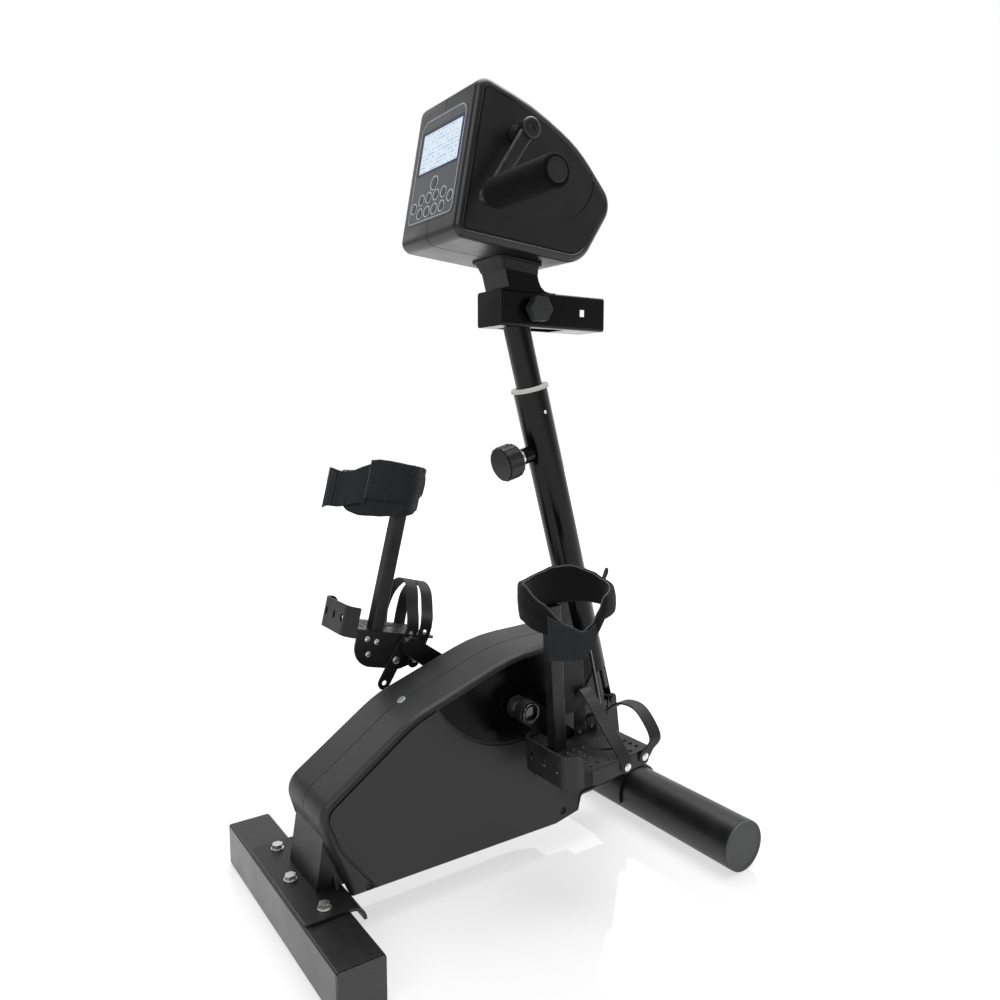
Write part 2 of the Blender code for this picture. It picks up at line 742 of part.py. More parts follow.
def front_foot_bolts():
    under_top = FRONT_FOOT_SECTION - FOOT_WALL - GAP
    seat = FRONT_FOOT_SECTION + SADDLE_THICKNESS + 2 * GAP
    plate = block((-FRONT_BOLT_X - 0.015, FRONT_Y + 0.008, under_top - NUT_PLATE_THICKNESS),
                  (FRONT_BOLT_X + 0.015, FRONT_Y + 0.046, under_top))
    grip = seat - under_top + NUT_PLATE_THICKNESS / 2
    bolts = [bolt(Matrix.Translation((x, y, seat)), grip) for x, y in front_bolt_places()]
    finished(joined(plate, *bolts), "front_foot_bolts", material("zinc_bolts", ZINC, 0.3, 1.0),
             (0, FRONT_FOOT_Y, seat))


def rear_foot():
    tube_end = REAR_FOOT_LENGTH / 2 - REAR_CAP_FLANGE - GAP
    axis = along_x(REAR_FOOT_Y, REAR_FOOT_RADIUS)
    inner = REAR_FOOT_RADIUS - FOOT_WALL
    tube = turned([(REAR_FOOT_RADIUS, tube_end), (REAR_FOOT_RADIUS, -tube_end), (inner, -tube_end),
                   (inner, tube_end)], axis, 34)
    holes = [rod(BOLT_RADIUS + BOLT_GAP, inner - 0.004, REAR_FOOT_RADIUS + 0.004, rear_bolt_frame(x), 10)
             for x in (-REAR_BOLT_X, REAR_BOLT_X)]
    finished(cut(tube, *holes), "rear_foot_tube", material("black_painted_round_tube", BLACK_PAINT, 0.3),
             (0, REAR_FOOT_Y, REAR_FOOT_RADIUS))
    look = material("grey_plastic_cap", (0.10, 0.105, 0.10), 0.5)
    rim = REAR_FOOT_RADIUS - GAP
    face = REAR_FOOT_LENGTH / 2
    plug = inner - GAP
    for side, name in ((1, "right"), (-1, "left")):
        profile = [(0, face - REAR_CAP_RECESS), (rim - REAR_CAP_RIM, face - REAR_CAP_RECESS),
                   (rim - REAR_CAP_RIM + 0.0008, face), (rim, face),
                   (rim, face - REAR_CAP_FLANGE), (plug, face - REAR_CAP_FLANGE),
                   (plug, face - REAR_CAP_DEPTH), (0, face - REAR_CAP_DEPTH)]
        cap = turned(profile, axis, 34)
        if side < 0:
            cap = mirrored_here(cap)
        finished(cap, "rear_foot_cap_" + name, look, (side * face, REAR_FOOT_Y, REAR_FOOT_RADIUS))


def rear_bolt_frame(x):
    """Z points out of the rear tube where a rear bolt sits; the origin is on the tube's axis."""
    return (Matrix.Translation((x, REAR_FOOT_Y, REAR_FOOT_RADIUS))
            @ Matrix.Rotation(math.radians(REAR_BOLT_ANGLE - 90), 4, "X"))


def rear_foot_bolts():
    seat = REAR_FOOT_RADIUS + SADDLE_THICKNESS + 2 * GAP + 0.0004
    plate_top = math.sqrt((REAR_FOOT_RADIUS - FOOT_WALL - GAP) ** 2 - 0.012 ** 2)
    frame = rear_bolt_frame(0)
    plate = block((-REAR_BOLT_X - 0.012, -0.012, plate_top - NUT_PLATE_THICKNESS),
                  (REAR_BOLT_X + 0.012, 0.012, plate_top), frame)
    bolts = [bolt(rear_bolt_frame(x) @ Matrix.Translation((0, 0, seat)), seat - plate_top + 0.002)
             for x in (-REAR_BOLT_X, REAR_BOLT_X)]
    finished(joined(plate, *bolts), "rear_foot_bolts", material("zinc_rear_bolts", ZINC, 0.3, 1.0),
             (0, REAR_FOOT_Y, REAR_FOOT_RADIUS))


# Main frame

def saddle():
    top = FRONT_FOOT_SECTION + GAP + SADDLE_THICKNESS
    back = FRONT_Y + FRONT_FOOT_SECTION
    centre = (back, top - SADDLE_THICKNESS - SADDLE_LIP_RADIUS)
    outer = arc(centre, SADDLE_LIP_RADIUS + SADDLE_THICKNESS, 90, 0, 6)
    inner = arc(centre, SADDLE_LIP_RADIUS, 0, 90, 6)
    front = FRONT_Y + SADDLE_FRONT_MARGIN
    section = [(front, top - SADDLE_THICKNESS), (front, top)] + outer + inner
    plate = extrusion([section], SADDLE_WIDTH, SIDE)
    half = SADDLE_WIDTH / 2
    corners = [extrusion([[(side * (half + 0.001), front - 0.001)]
                          + arc((side * (half - SADDLE_CORNER), front + SADDLE_CORNER),
                                SADDLE_CORNER, -90, -90 + side * 90, 5)], 0.02, TOP, top)
               for side in (1, -1)]
    holes = [rod(BOLT_RADIUS + BOLT_GAP, top - 0.01, top + 0.01, Matrix.Translation((x, y, 0)), 16)
             for x, y in front_bolt_places()]
    return cut(plate, *corners, *holes)


def upright():
    foot_z = FRONT_FOOT_SECTION + GAP + SADDLE_THICKNESS - 0.001
    front = [(FRONT_Y + UPRIGHT_FOOT_FRONT, foot_z), (FRONT_Y + UPRIGHT_KNEE_FRONT, UPRIGHT_KNEE_Z),
             (FRONT_Y + UPRIGHT_TOP_FRONT, UPRIGHT_TOP_Z)]
    back = [(y + UPRIGHT_DEPTH, z) for y, z in reversed(front)]
    outside = extrusion([front + back], UPRIGHT_WIDTH, SIDE)
    inner_front = [(y + UPRIGHT_WALL, z + shift) for (y, z), shift in zip(front, (-0.01, 0, 0.01))]
    inner_back = [(y + UPRIGHT_DEPTH + 0.01, z) for y, z in reversed(inner_front)]
    inside = extrusion([inner_front + inner_back], UPRIGHT_WIDTH - 2 * UPRIGHT_WALL, SIDE)
    gussets = []
    for side in (1, -1):
        edge = side * (UPRIGHT_WIDTH / 2 - 0.001)
        reach = side * (UPRIGHT_WIDTH / 2 + GUSSET_REACH)
        curve = [(edge + (reach - edge) * (1 - math.cos(math.radians(t))),
                  foot_z + GUSSET_HEIGHT * (1 - math.sin(math.radians(t)))) for t in (0, 22.5, 45, 67.5, 90)]
        outline = [(edge - side * 0.002, foot_z), (edge - side * 0.002, foot_z + GUSSET_HEIGHT)] + curve
        gussets.append(extrusion([outline], GUSSET_THICKNESS, FRONT,
                                 -(FRONT_Y + UPRIGHT_FOOT_FRONT + UPRIGHT_DEPTH * 0.55)))
    return cut(outside, inside), gussets


def beam():
    start = FRONT_Y + UPRIGHT_FOOT_FRONT + 0.0085
    end = REAR_FOOT_Y - 0.012
    middle_z = BEAM_BOTTOM + BEAM_HEIGHT / 2
    outside = rounded_box(BEAM_WIDTH, BEAM_HEIGHT, 0.0036, (0, middle_z))
    inside = rounded_box(BEAM_WIDTH - 2 * BEAM_WALL, BEAM_HEIGHT - 2 * BEAM_WALL, 0.001, (0, middle_z))
    return extrusion([outside, inside], end - start, FRONT, -(start + end) / 2)


def webs():
    top = BEAM_BOTTOM + BEAM_HEIGHT - 0.001
    outline = [(CRANK_Y - 0.060, top), (CRANK_Y + 0.060, top), (CRANK_Y + 0.018, CRANK_Z),
               (CRANK_Y - 0.018, CRANK_Z)]
    plates = [extrusion([outline], WEB_THICKNESS, SIDE, side * WEB_SPACING / 2) for side in (1, -1)]
    shell = rod(BRACKET_SHELL_RADIUS, -BRACKET_SHELL_LENGTH / 2, BRACKET_SHELL_LENGTH / 2,
                along_x(CRANK_Y, CRANK_Z), 20)
    bore = rod(BRACKET_BORE_RADIUS, -0.1, 0.1, along_x(CRANK_Y, CRANK_Z), 20)
    return plates, shell, bore


def post_socket():
    """The neck that rises from the beam and the plug inside the outer tube, with the lugs behind it."""
    plug = OUTER_POST_RADIUS - OUTER_POST_WALL - GAP
    beam_top = BEAM_BOTTOM + BEAM_HEIGHT
    bottom = (beam_top - 0.012 - POST_BASE_Z) / math.cos(math.radians(POST_LEAN))
    bore = plug - STUB_PLUG_WALL
    neck = turned([(0, 0.006), (STUB_NECK_RADIUS, 0.006), (STUB_NECK_RADIUS, bottom), (0, bottom)],
                  in_post(0), 16)
    cup = turned([(plug - 0.002, STUB_PLUG_LENGTH), (plug, STUB_PLUG_LENGTH - 0.002), (plug, -0.001),
                  (0, -0.001), (0, 0.008), (bore, 0.008), (bore, STUB_PLUG_LENGTH)], in_post(0), 24)
    hinge = in_post(-TONGUE_LENGTH - BARREL_RADIUS / 2, BARREL_OFFSET).translation
    lug_x = BARREL_LENGTH / 2 + GAP + LUG_THICKNESS / 2
    outline = (arc((hinge.y, hinge.z), LUG_RADIUS, -10, 170, 8)
               + [(hinge.y - 0.012, beam_top - 0.004), (hinge.y + 0.022, beam_top - 0.004)])
    lugs = [extrusion([outline], LUG_THICKNESS, SIDE, side * lug_x) for side in (1, -1)]
    pin = rod(LUG_BOLT_RADIUS, -lug_x - 0.004, lug_x + 0.004, along_x(hinge.y, hinge.z), 12)
    head = rod(0.0055, lug_x + 0.001, lug_x + 0.0045, along_x(hinge.y, hinge.z), 6)
    nut = rod(0.0055, -lug_x - 0.0045, -lug_x - 0.001, along_x(hinge.y, hinge.z), 6)
    return [neck, cup, *lugs, pin, head, nut]


def rear_saddle():
    centre = (REAR_FOOT_Y, REAR_FOOT_RADIUS)
    inner = REAR_FOOT_RADIUS + GAP
    outer = inner + SADDLE_THICKNESS
    steps = 14
    outline = (arc(centre, outer, REAR_SADDLE_FROM, REAR_SADDLE_TO, steps)
               + arc(centre, inner - 0.002, REAR_SADDLE_TO, REAR_SADDLE_FROM, steps))
    return extrusion([outline], REAR_SADDLE_WIDTH, SIDE)


def main_frame():
    channel, gussets = upright()
    plates, shell, bore = webs()
    beam_top = BEAM_BOTTOM + BEAM_HEIGHT
    motor_plate = block((-MOTOR_PLATE_WIDTH / 2, MOTOR_Y - MOTOR_PLATE_LENGTH / 2, beam_top - 0.001),
                        (MOTOR_PLATE_WIDTH / 2, MOTOR_Y + MOTOR_PLATE_LENGTH / 2,
                         beam_top + MOTOR_PLATE_THICKNESS))
    frame = joined(beam(), saddle(), channel, *gussets, *plates, shell, motor_plate, rear_saddle(),
                   *post_socket())
    rear_tube = rod(REAR_FOOT_RADIUS + GAP, -0.1, 0.1, along_x(REAR_FOOT_Y, REAR_FOOT_RADIUS), 34)
    bolt_holes = [rod(BOLT_RADIUS + BOLT_GAP, REAR_FOOT_RADIUS - 0.002, REAR_FOOT_RADIUS + 0.012,
                      rear_bolt_frame(x), 16) for x in (-REAR_BOLT_X, REAR_BOLT_X)]
    finished(cut(frame, bore, rear_tube, *bolt_holes), "main_frame",
             material("black_painted_frame", BLACK_PAINT, 0.35))


# Fairing

def fairing_corners():
    """The fairing from the right side: y, z and corner radius, anticlockwise from its lower front corner."""
    return [(-0.2395, 0.0475, 0.003), (0.0900, 0.0455, 0.004), (0.1335, 0.0545, 0.002),
            (0.1395, 0.0770, 0.002), (0.2055, 0.0800, 0.004), (0.1995, 0.1300, 0.010),
            (0.1505, 0.3275, 0.014), (0.0150, 0.3225, 0.250), (-0.1505, 0.2640, 0.160),
            (-0.2848, 0.1700, 0.030), (-0.2725, 0.1270, 0.003)]


def panel_corners():
    """The sunk side panel: along the top it follows the rim, in front it sweeps down to the bottom."""
    top = inset_corners(fairing_corners(), FAIRING_RIM)
    return [(-0.2010, 0.0600, 0.010), (0.0900, 0.0560, 0.004), (0.1290, 0.0640, 0.006), *top[3:9],
            (-0.2748, 0.1660, 0.020), (-0.2560, 0.1150, 0.080)]


def fairing():
    look = material("black_moulded_fairing", BLACK_PLASTIC, 0.45)
    shell = half_shell(fairing_corners(), FAIRING_HALF_WIDTH, FAIRING_WALL, FAIRING_EDGE,
                       2 * FAIRING_RECESS)
    panel = extrusion([filleted(panel_corners())], 0.02, SIDE, FAIRING_HALF_WIDTH - FAIRING_RECESS + 0.01)
    sweep = rod(SWEEP_RADIUS, FAIRING_HALF_WIDTH - 2 * FAIRING_RECESS, FAIRING_HALF_WIDTH + 0.01,
                along_x(SWEEP_Y, SWEEP_Z), 60)
    rim = inset_corners(fairing_corners(), FAIRING_RIM + 0.001)
    keep = extrusion([[(a, b) for a, b, radius in rim]], 0.04, SIDE, FAIRING_HALF_WIDTH)
    sweep = combined(sweep, [keep], "INTERSECT")
    sleeve = AXLE_RADIUS + AXLE_HOLE_GAP
    hole = rod(sleeve, 0.03, 0.08, along_x(CRANK_Y, CRANK_Z), 18)
    clear = UPRIGHT_WIDTH / 2 + 0.0012
    mouth = extrusion([[(-0.330, 0.030), (-0.2130, 0.030), (-0.2130, 0.056), (-0.2500, 0.1400),
                        (-0.2900, 0.1300)]], 2 * clear, SIDE)
    beam_half = BEAM_WIDTH / 2 + 0.0015
    tail = block((-beam_half, 0.130, 0.040), (beam_half, 0.230, BEAM_BOTTOM + BEAM_HEIGHT + 0.0015))
    screws = [rod(SHELL_SCREW_RADIUS, FAIRING_HALF_WIDTH - 0.006, FAIRING_HALF_WIDTH + 0.01,
                  along_x(*place), 10) for place in SHELL_SCREWS]
    right = cut(shell, panel, sweep, hole, mouth, tail, *screws)
    left = mirrored(right)
    finished(right, "fairing_right", look)
    finished(left, "fairing_left", look)


# Lower drive

def lower_drive():
    steel = material("ground_steel_axle", STEEL, 0.3, 1.0)
    axis = along_x(CRANK_Y, CRANK_Z)
    centre = (0, CRANK_Y, CRANK_Z)
    end = ARM_INNER_X + ARM_THICKNESS - ARM_CAP - GAP
    flange = AXLE_FLANGE_X + AXLE_FLANGE_THICKNESS
    profile = [(0, end), (AXLE_RADIUS, end), (AXLE_RADIUS, flange), (AXLE_FLANGE_RADIUS, flange),
               (AXLE_FLANGE_RADIUS, AXLE_FLANGE_X), (AXLE_RADIUS, AXLE_FLANGE_X)]
    below = [(r, -h) for r, h in reversed(profile)]
    finished(turned(profile + below, axis, 20), "crank_axle", steel, centre)

    bore = AXLE_RADIUS + RUNNING_GAP
    half = BRACKET_SHELL_LENGTH / 2 + GAP
    outer = BRACKET_BORE_RADIUS - GAP
    edge = half + CARTRIDGE_FLANGE_THICKNESS
    profile = [(CARTRIDGE_FLANGE_RADIUS, edge), (CARTRIDGE_FLANGE_RADIUS, half), (outer, half)]
    profile = profile + [(r, -h) for r, h in reversed(profile)] + [(bore, -edge), (bore, edge)]
    finished(turned(profile, axis, 16), "bottom_bracket",
             material("black_bearing_cartridge", BLACK_PAINT, 0.4), centre)

    low = PULLEY_X - PULLEY_WIDTH / 2
    high = PULLEY_X + PULLEY_WIDTH / 2
    belt_low = PULLEY_X - BELT_WIDTH / 2 - GAP
    belt_high = PULLEY_X + BELT_WIDTH / 2 + GAP
    for name, radius, inner, y, z, look in (
            ("crank_pulley", CRANK_PULLEY_RADIUS, AXLE_RADIUS + GAP, CRANK_Y, CRANK_Z,
             material("black_belt_pulley", BLACK_PLASTIC, 0.5)),
            ("motor_pulley", MOTOR_PULLEY_RADIUS, 0.0, MOTOR_Y, MOTOR_Z, steel.copy())):
        lip = radius + PULLEY_LIP
        rim = [(lip, high), (lip, belt_high), (radius, belt_high), (radius, belt_low), (lip, belt_low),
               (lip, low)]
        if inner:
            profile = rim + [(inner, low), (inner, high)]
        else:
            shaft_end = MOTOR_FACE_X + MOTOR_SHAFT_DEPTH - GAP
            profile = ([(0, shaft_end), (MOTOR_SHAFT_RADIUS, shaft_end), (MOTOR_SHAFT_RADIUS, high)]
                       + rim + [(0, low)])
        finished(turned(profile, along_x(y, z), 20 if inner else 12), name, look, (0, y, z))
    crank_ring = hull_of_circles((CRANK_Y, CRANK_Z), CRANK_PULLEY_RADIUS + GAP + BELT_THICKNESS,
                                 (MOTOR_Y, MOTOR_Z), MOTOR_PULLEY_RADIUS + GAP + BELT_THICKNESS, 20)
    inside = hull_of_circles((CRANK_Y, CRANK_Z), CRANK_PULLEY_RADIUS + 1.5 * GAP, (MOTOR_Y, MOTOR_Z),
                             MOTOR_PULLEY_RADIUS + 1.5 * GAP, 20)
    finished(extrusion([crank_ring, inside], BELT_WIDTH, SIDE, PULLEY_X), "drive_belt",
             material("black_rubber_belt", BLACK_RUBBER, 0.7), (0, CRANK_Y, CRANK_Z))

    face = MOTOR_FACE_X
    bore = MOTOR_SHAFT_RADIUS + RUNNING_GAP
    back = face + MOTOR_BODY_LENGTH
    nose = face - MOTOR_NOSE_LENGTH
    body = turned([(0, back), (MOTOR_RADIUS - MOTOR_EDGE, back), (MOTOR_RADIUS, back - MOTOR_EDGE),
                   (MOTOR_RADIUS, face), (MOTOR_NOSE_RADIUS, face), (MOTOR_NOSE_RADIUS, nose), (bore, nose),
                   (bore, face + MOTOR_SHAFT_DEPTH), (0, face + MOTOR_SHAFT_DEPTH)],
                  along_x(MOTOR_Y, MOTOR_Z), 16)
    seat = BEAM_BOTTOM + BEAM_HEIGHT + MOTOR_PLATE_THICKNESS + GAP
    foot = block((face + MOTOR_FOOT_X, MOTOR_Y - MOTOR_FOOT_LENGTH / 2, seat),
                 (face + MOTOR_FOOT_X + MOTOR_FOOT_WIDTH, MOTOR_Y + MOTOR_FOOT_LENGTH / 2,
                  MOTOR_Z - 0.7 * MOTOR_RADIUS))
    finished(joined(body, foot), "drive_motor", material("silver_motor_case", STEEL, 0.4, 1.0),
             (0, MOTOR_Y, MOTOR_Z))


def spindle_place(side):
    angle = math.radians(CRANK_ANGLE + (0 if side > 0 else 180))
    return CRANK_Y + CRANK_LENGTH * math.cos(angle), CRANK_Z + CRANK_LENGTH * math.sin(angle)


def crank_arm(side):
    """A forged arm with its hub, and the pedal spindle and nut fixed in it."""
    y, z = spindle_place(side)
    axis = along_x(CRANK_Y, CRANK_Z)
    outline = hull_of_circles((CRANK_Y, CRANK_Z), ARM_AXLE_END_RADIUS, (y, z), ARM_SPINDLE_END_RADIUS, 12)
    arm = extrusion([outline], ARM_THICKNESS, SIDE, ARM_INNER_X + ARM_THICKNESS / 2)
    outer = ARM_INNER_X + ARM_THICKNESS
    hub = rod(ARM_HUB_RADIUS, ARM_INNER_X - ARM_HUB_LENGTH, ARM_INNER_X + 0.002, axis, 14)
    cap = rod(ARM_CAP_RADIUS, outer - 0.002, outer + ARM_CAP_PROUD, axis, 16)
    nut_x = HUB_END_X + GAP + 0.0002
    spindle = rod(SPINDLE_RADIUS, outer - 0.004, nut_x + 0.001, along_x(y, z), 12)
    nut = rod(SPINDLE_NUT_RADIUS, nut_x, nut_x + SPINDLE_NUT_THICKNESS, along_x(y, z), 6)
    bore = rod(AXLE_RADIUS + GAP, ARM_INNER_X - 0.02, outer - ARM_CAP, axis, 16)
    arm = cut(joined(arm, hub, cap, spindle, nut), bore)
    if side < 0:
        arm = mirrored_here(arm)
    name = "crank_arm_right" if side > 0 else "crank_arm_left"
    finished(arm, name, material("black_painted_crank", BLACK_PAINT, 0.35), (0, CRANK_Y, CRANK_Z))


# Pedals

def side_plate_outline():
    top = FOOTPLATE_TOP
    return filleted([(-0.0835, SIDE_DISC_BOTTOM, 0.030), (-0.004, SIDE_DISC_BOTTOM, 0.012),
                     (0.030, -0.0220, 0.006), (0.030, top, 0), (-0.030, top, 0), (-0.034, 0.0380, 0.004),
                     (-0.066, 0.0410, 0.006), (-0.078, 0.0300, 0.004), (-0.0765, top, 0),
                     (-0.0835, top, 0)])


def punch_places():
    """The small holes of the footplate, across and towards the toe."""
    return [(0.1375, -0.0600), (0.1375, -0.0400), (0.1262, -0.0233), (0.1850, -0.0620), (0.1850, -0.0400),
            (0.1610, -0.0620), (0.1221, 0.0190), (0.1480, 0.0147), (0.1857, -0.0113), (0.1380, 0.0360),
            (0.1820, 0.0250)]


def slot_outline(first, second, radius):
    return hull_of_circles(first, radius, second, radius - 0.00001, 4)


def footplate(frame_of, side):
    plate_low = FOOTPLATE_TOP - SHEET
    plate_edge = FOOTPLATE_OUTER_X - 0.0006
    heel = HEEL_Y + SHEET + HEEL_GAP
    heel_x = HEEL_INNER_X + SHEET + HEEL_GAP
    heel_front = HEEL_Y + HEEL_BEND + 0.0015
    outline = filleted([(heel_x, heel, HEEL_BEND - SHEET - HEEL_GAP), (0.190, heel, 0.006),
                        (0.190, FLANGE_HEEL - 0.006, 0.002), (plate_edge, FLANGE_HEEL, 0.002),
                        (plate_edge, FOOTPLATE_TOE, 0.006), (SIDE_PLATE_X + 0.0006, FOOTPLATE_TOE, 0.010),
                        (SIDE_PLATE_X + 0.0006, heel_front, 0), (heel_x, heel_front, 0)])
    holes = [circle(place, PUNCH_RADIUS, 7) for place in punch_places()]
    slot = slot_outline((0.1493, -0.0194), (0.1703, 0.0074), SLOT_RADIUS)
    plate = extrusion([outline, *holes, slot], SHEET, TOP, FOOTPLATE_TOP - SHEET / 2)
    side_plate = extrusion([side_plate_outline()], SHEET, SIDE, SIDE_PLATE_X + SHEET / 2)
    flange_outline = filleted([(FLANGE_HEEL + 0.003, FLANGE_BOTTOM, 0.006),
                               (FOOTPLATE_TOE - 0.006, FLANGE_BOTTOM + 0.003, 0.006),
                               (FOOTPLATE_TOE - 0.004, plate_low + 0.001, 0),
                               (FLANGE_HEEL + 0.001, plate_low + 0.001, 0)])
    flange = extrusion([flange_outline], SHEET, SIDE, FOOTPLATE_OUTER_X - SHEET / 2)
    hub = rod(HUB_RADIUS, SIDE_PLATE_X + SHEET - 0.0005, HUB_END_X, along_x(0, 0), 16)
    bore = rod(SPINDLE_RADIUS + RUNNING_GAP, SIDE_PLATE_X - 0.01, HUB_END_X + 0.002, along_x(0, 0), 12)
    nubs = []
    for x, direction, places in ((FOOTPLATE_OUTER_X, 1, OUTER_NUBS), (SIDE_PLATE_X, -1, INNER_NUBS)):
        for y, z in places:
            root = x - direction * 0.001
            head = x + direction * (2 * GAP + STRAP_THICKNESS)
            tip = head + direction * NUB_HEAD_THICKNESS
            inside = tip - direction * NUB_HEAD_THICKNESS / 2
            nubs.append(rod(NUB_RADIUS, min(root, inside), max(root, inside), along_x(y, z), 6))
            nubs.append(rod(NUB_HEAD_RADIUS, min(head, tip), max(head, tip), along_x(y, z), 8))
    solid = cut(joined(plate, side_plate, flange, hub, *nubs), bore)
    place_pedal(solid, "footplate", frame_of, side, material("black_pressed_steel", BLACK_PAINT, 0.35))


def heel_cup(frame_of, side):
    inner = HEEL_INNER_X
    outer = HEEL_OUTER_X
    front = HEEL_Y + HEEL_BEND + HEEL_RETURN
    left_bend = (inner + HEEL_BEND, HEEL_Y + HEEL_BEND)
    right_bend = (outer - HEEL_BEND, HEEL_Y + HEEL_BEND)
    line = arc(left_bend, HEEL_BEND, 180, 270, 5) + arc(right_bend, HEEL_BEND, 270, 360, 5) + [(outer, front)]
    back = ([(outer - SHEET, front)] + arc(right_bend, HEEL_BEND - SHEET, 360, 270, 5)
            + arc(left_bend, HEEL_BEND - SHEET, 270, 180, 5))
    wall = extrusion([line + back], HEEL_TOP - HEEL_BOTTOM, TOP, (HEEL_TOP + HEEL_BOTTOM) / 2)
    corner = ([(front + 0.002, HEEL_TOP + 0.002), (front + 0.002, HEEL_TOP - HEEL_CORNER)]
              + arc((front - HEEL_CORNER + 0.0007, HEEL_TOP - HEEL_CORNER + 0.0007), HEEL_CORNER, -10, 100, 6)
              + [(front - HEEL_CORNER, HEEL_TOP + 0.002)])
    trim = extrusion([corner], 0.30, SIDE, 0.15)
    middle = (inner + outer) / 2
    slots = [extrusion([slot_outline((middle + k * HEEL_SLOT_PITCH, 0.0225),
                                     (middle + k * HEEL_SLOT_PITCH, 0.0285), HEEL_SLOT_RADIUS)],
                       0.02, FRONT, -HEEL_Y) for k in (-1, 0, 1)]
    tongue_top = FOOTPLATE_TOP - SHEET - GAP
    tongue = block((TONGUE_X[0], HEEL_Y + 0.001, tongue_top - SHEET), (TONGUE_X[1], -0.050, tongue_top))
    solid = joined(cut(wall, trim, *slots), tongue)
    place_pedal(solid, "heel_cup", frame_of, side, material("black_painted_heel_cup", BLACK_PAINT, 0.35))


def calf_post(frame_of, side):
    half = CALF_POST_SECTION / 2
    x = SIDE_PLATE_X + SHEET + GAP + half
    bottom = FOOTPLATE_TOP + GAP
    outside = rounded_box(CALF_POST_SECTION, CALF_POST_SECTION, 0.003, (x, CALF_POST_Y))
    hollow = CALF_POST_SECTION - 2 * CALF_POST_WALL
    inside = rounded_box(hollow, hollow, 0.001, (x, CALF_POST_Y))
    tube = extrusion([outside, inside], CALF_POST_TOP - bottom, TOP, (CALF_POST_TOP + bottom) / 2)
    tab_x = CUFF_INNER_X + CUFF_WALL / 2
    tab = block((tab_x - SHEET / 2, CALF_POST_Y - CALF_TAB_WIDTH / 2, CALF_POST_TOP - 0.012),
                (tab_x + SHEET / 2, CALF_POST_Y + CALF_TAB_WIDTH / 2, CALF_TAB_TOP))
    place_pedal(joined(tube, tab), "calf_post", frame_of, side,
                material("black_painted_post", BLACK_PAINT, 0.3))


def calf_cuff(frame_of, side):
    """A padded ring with rolled hems, its free end, and the pocket for the post's tab."""
    centre = (CUFF_INNER_X + CUFF_HALF_X, CUFF_Y)

    def ring(shrink):
        return [(centre[0] + (CUFF_HALF_X - shrink) * x, centre[1] + (CUFF_HALF_Y - shrink) * y)
                for x, y in circle((0, 0), 1)]

    top = CUFF_BOTTOM + CUFF_HEIGHT
    middle = (top + CUFF_BOTTOM) / 2
    band = loft([(ring(CUFF_ROLL), top), (ring(0), top - CUFF_ROLL), (ring(-CUFF_CROWN), middle),
                 (ring(0), CUFF_BOTTOM + CUFF_ROLL), (ring(CUFF_ROLL), CUFF_BOTTOM),
                 (ring(CUFF_WALL - CUFF_ROLL), CUFF_BOTTOM), (ring(CUFF_WALL), CUFF_BOTTOM + CUFF_ROLL),
                 (ring(CUFF_WALL), top - CUFF_ROLL), (ring(CUFF_WALL - CUFF_ROLL), top)], TOP, True)
    user_side = CUFF_Y - CUFF_HALF_Y
    if side < 0:
        tail_x = centre[0] + CUFF_HALF_X * 0.72
        tail = block((tail_x, user_side - CUFF_TAIL_REACH, CUFF_BOTTOM + 0.010),
                     (tail_x + CUFF_TAIL_THICKNESS, CUFF_Y - CUFF_HALF_Y * 0.55, top - 0.012))
    else:
        low = CUFF_BOTTOM - CUFF_FLAP_DROP
        high = CUFF_BOTTOM + 0.02
        flap = filleted([(CUFF_FLAP_X[0], low, 0.008), (CUFF_FLAP_X[1], low, 0.008),
                         (CUFF_FLAP_X[1] + 0.012, high, 0), (CUFF_FLAP_X[0] - 0.004, high, 0)])
        tail = extrusion([flap], CUFF_TAIL_THICKNESS, FRONT, -user_side - 0.0075)
    tab_x = CUFF_INNER_X + CUFF_WALL / 2
    pocket = block((tab_x - SHEET / 2 - GAP, CALF_POST_Y - CALF_TAB_WIDTH / 2 - GAP, CUFF_BOTTOM - 0.01),
                   (tab_x + SHEET / 2 + GAP, CALF_POST_Y + CALF_TAB_WIDTH / 2 + GAP, CALF_TAB_TOP + GAP))
    place_pedal(cut(joined(band, tail), pocket), "calf_cuff", frame_of, side,
                material("black_padded_fabric", BLACK_FABRIC, 0.9))


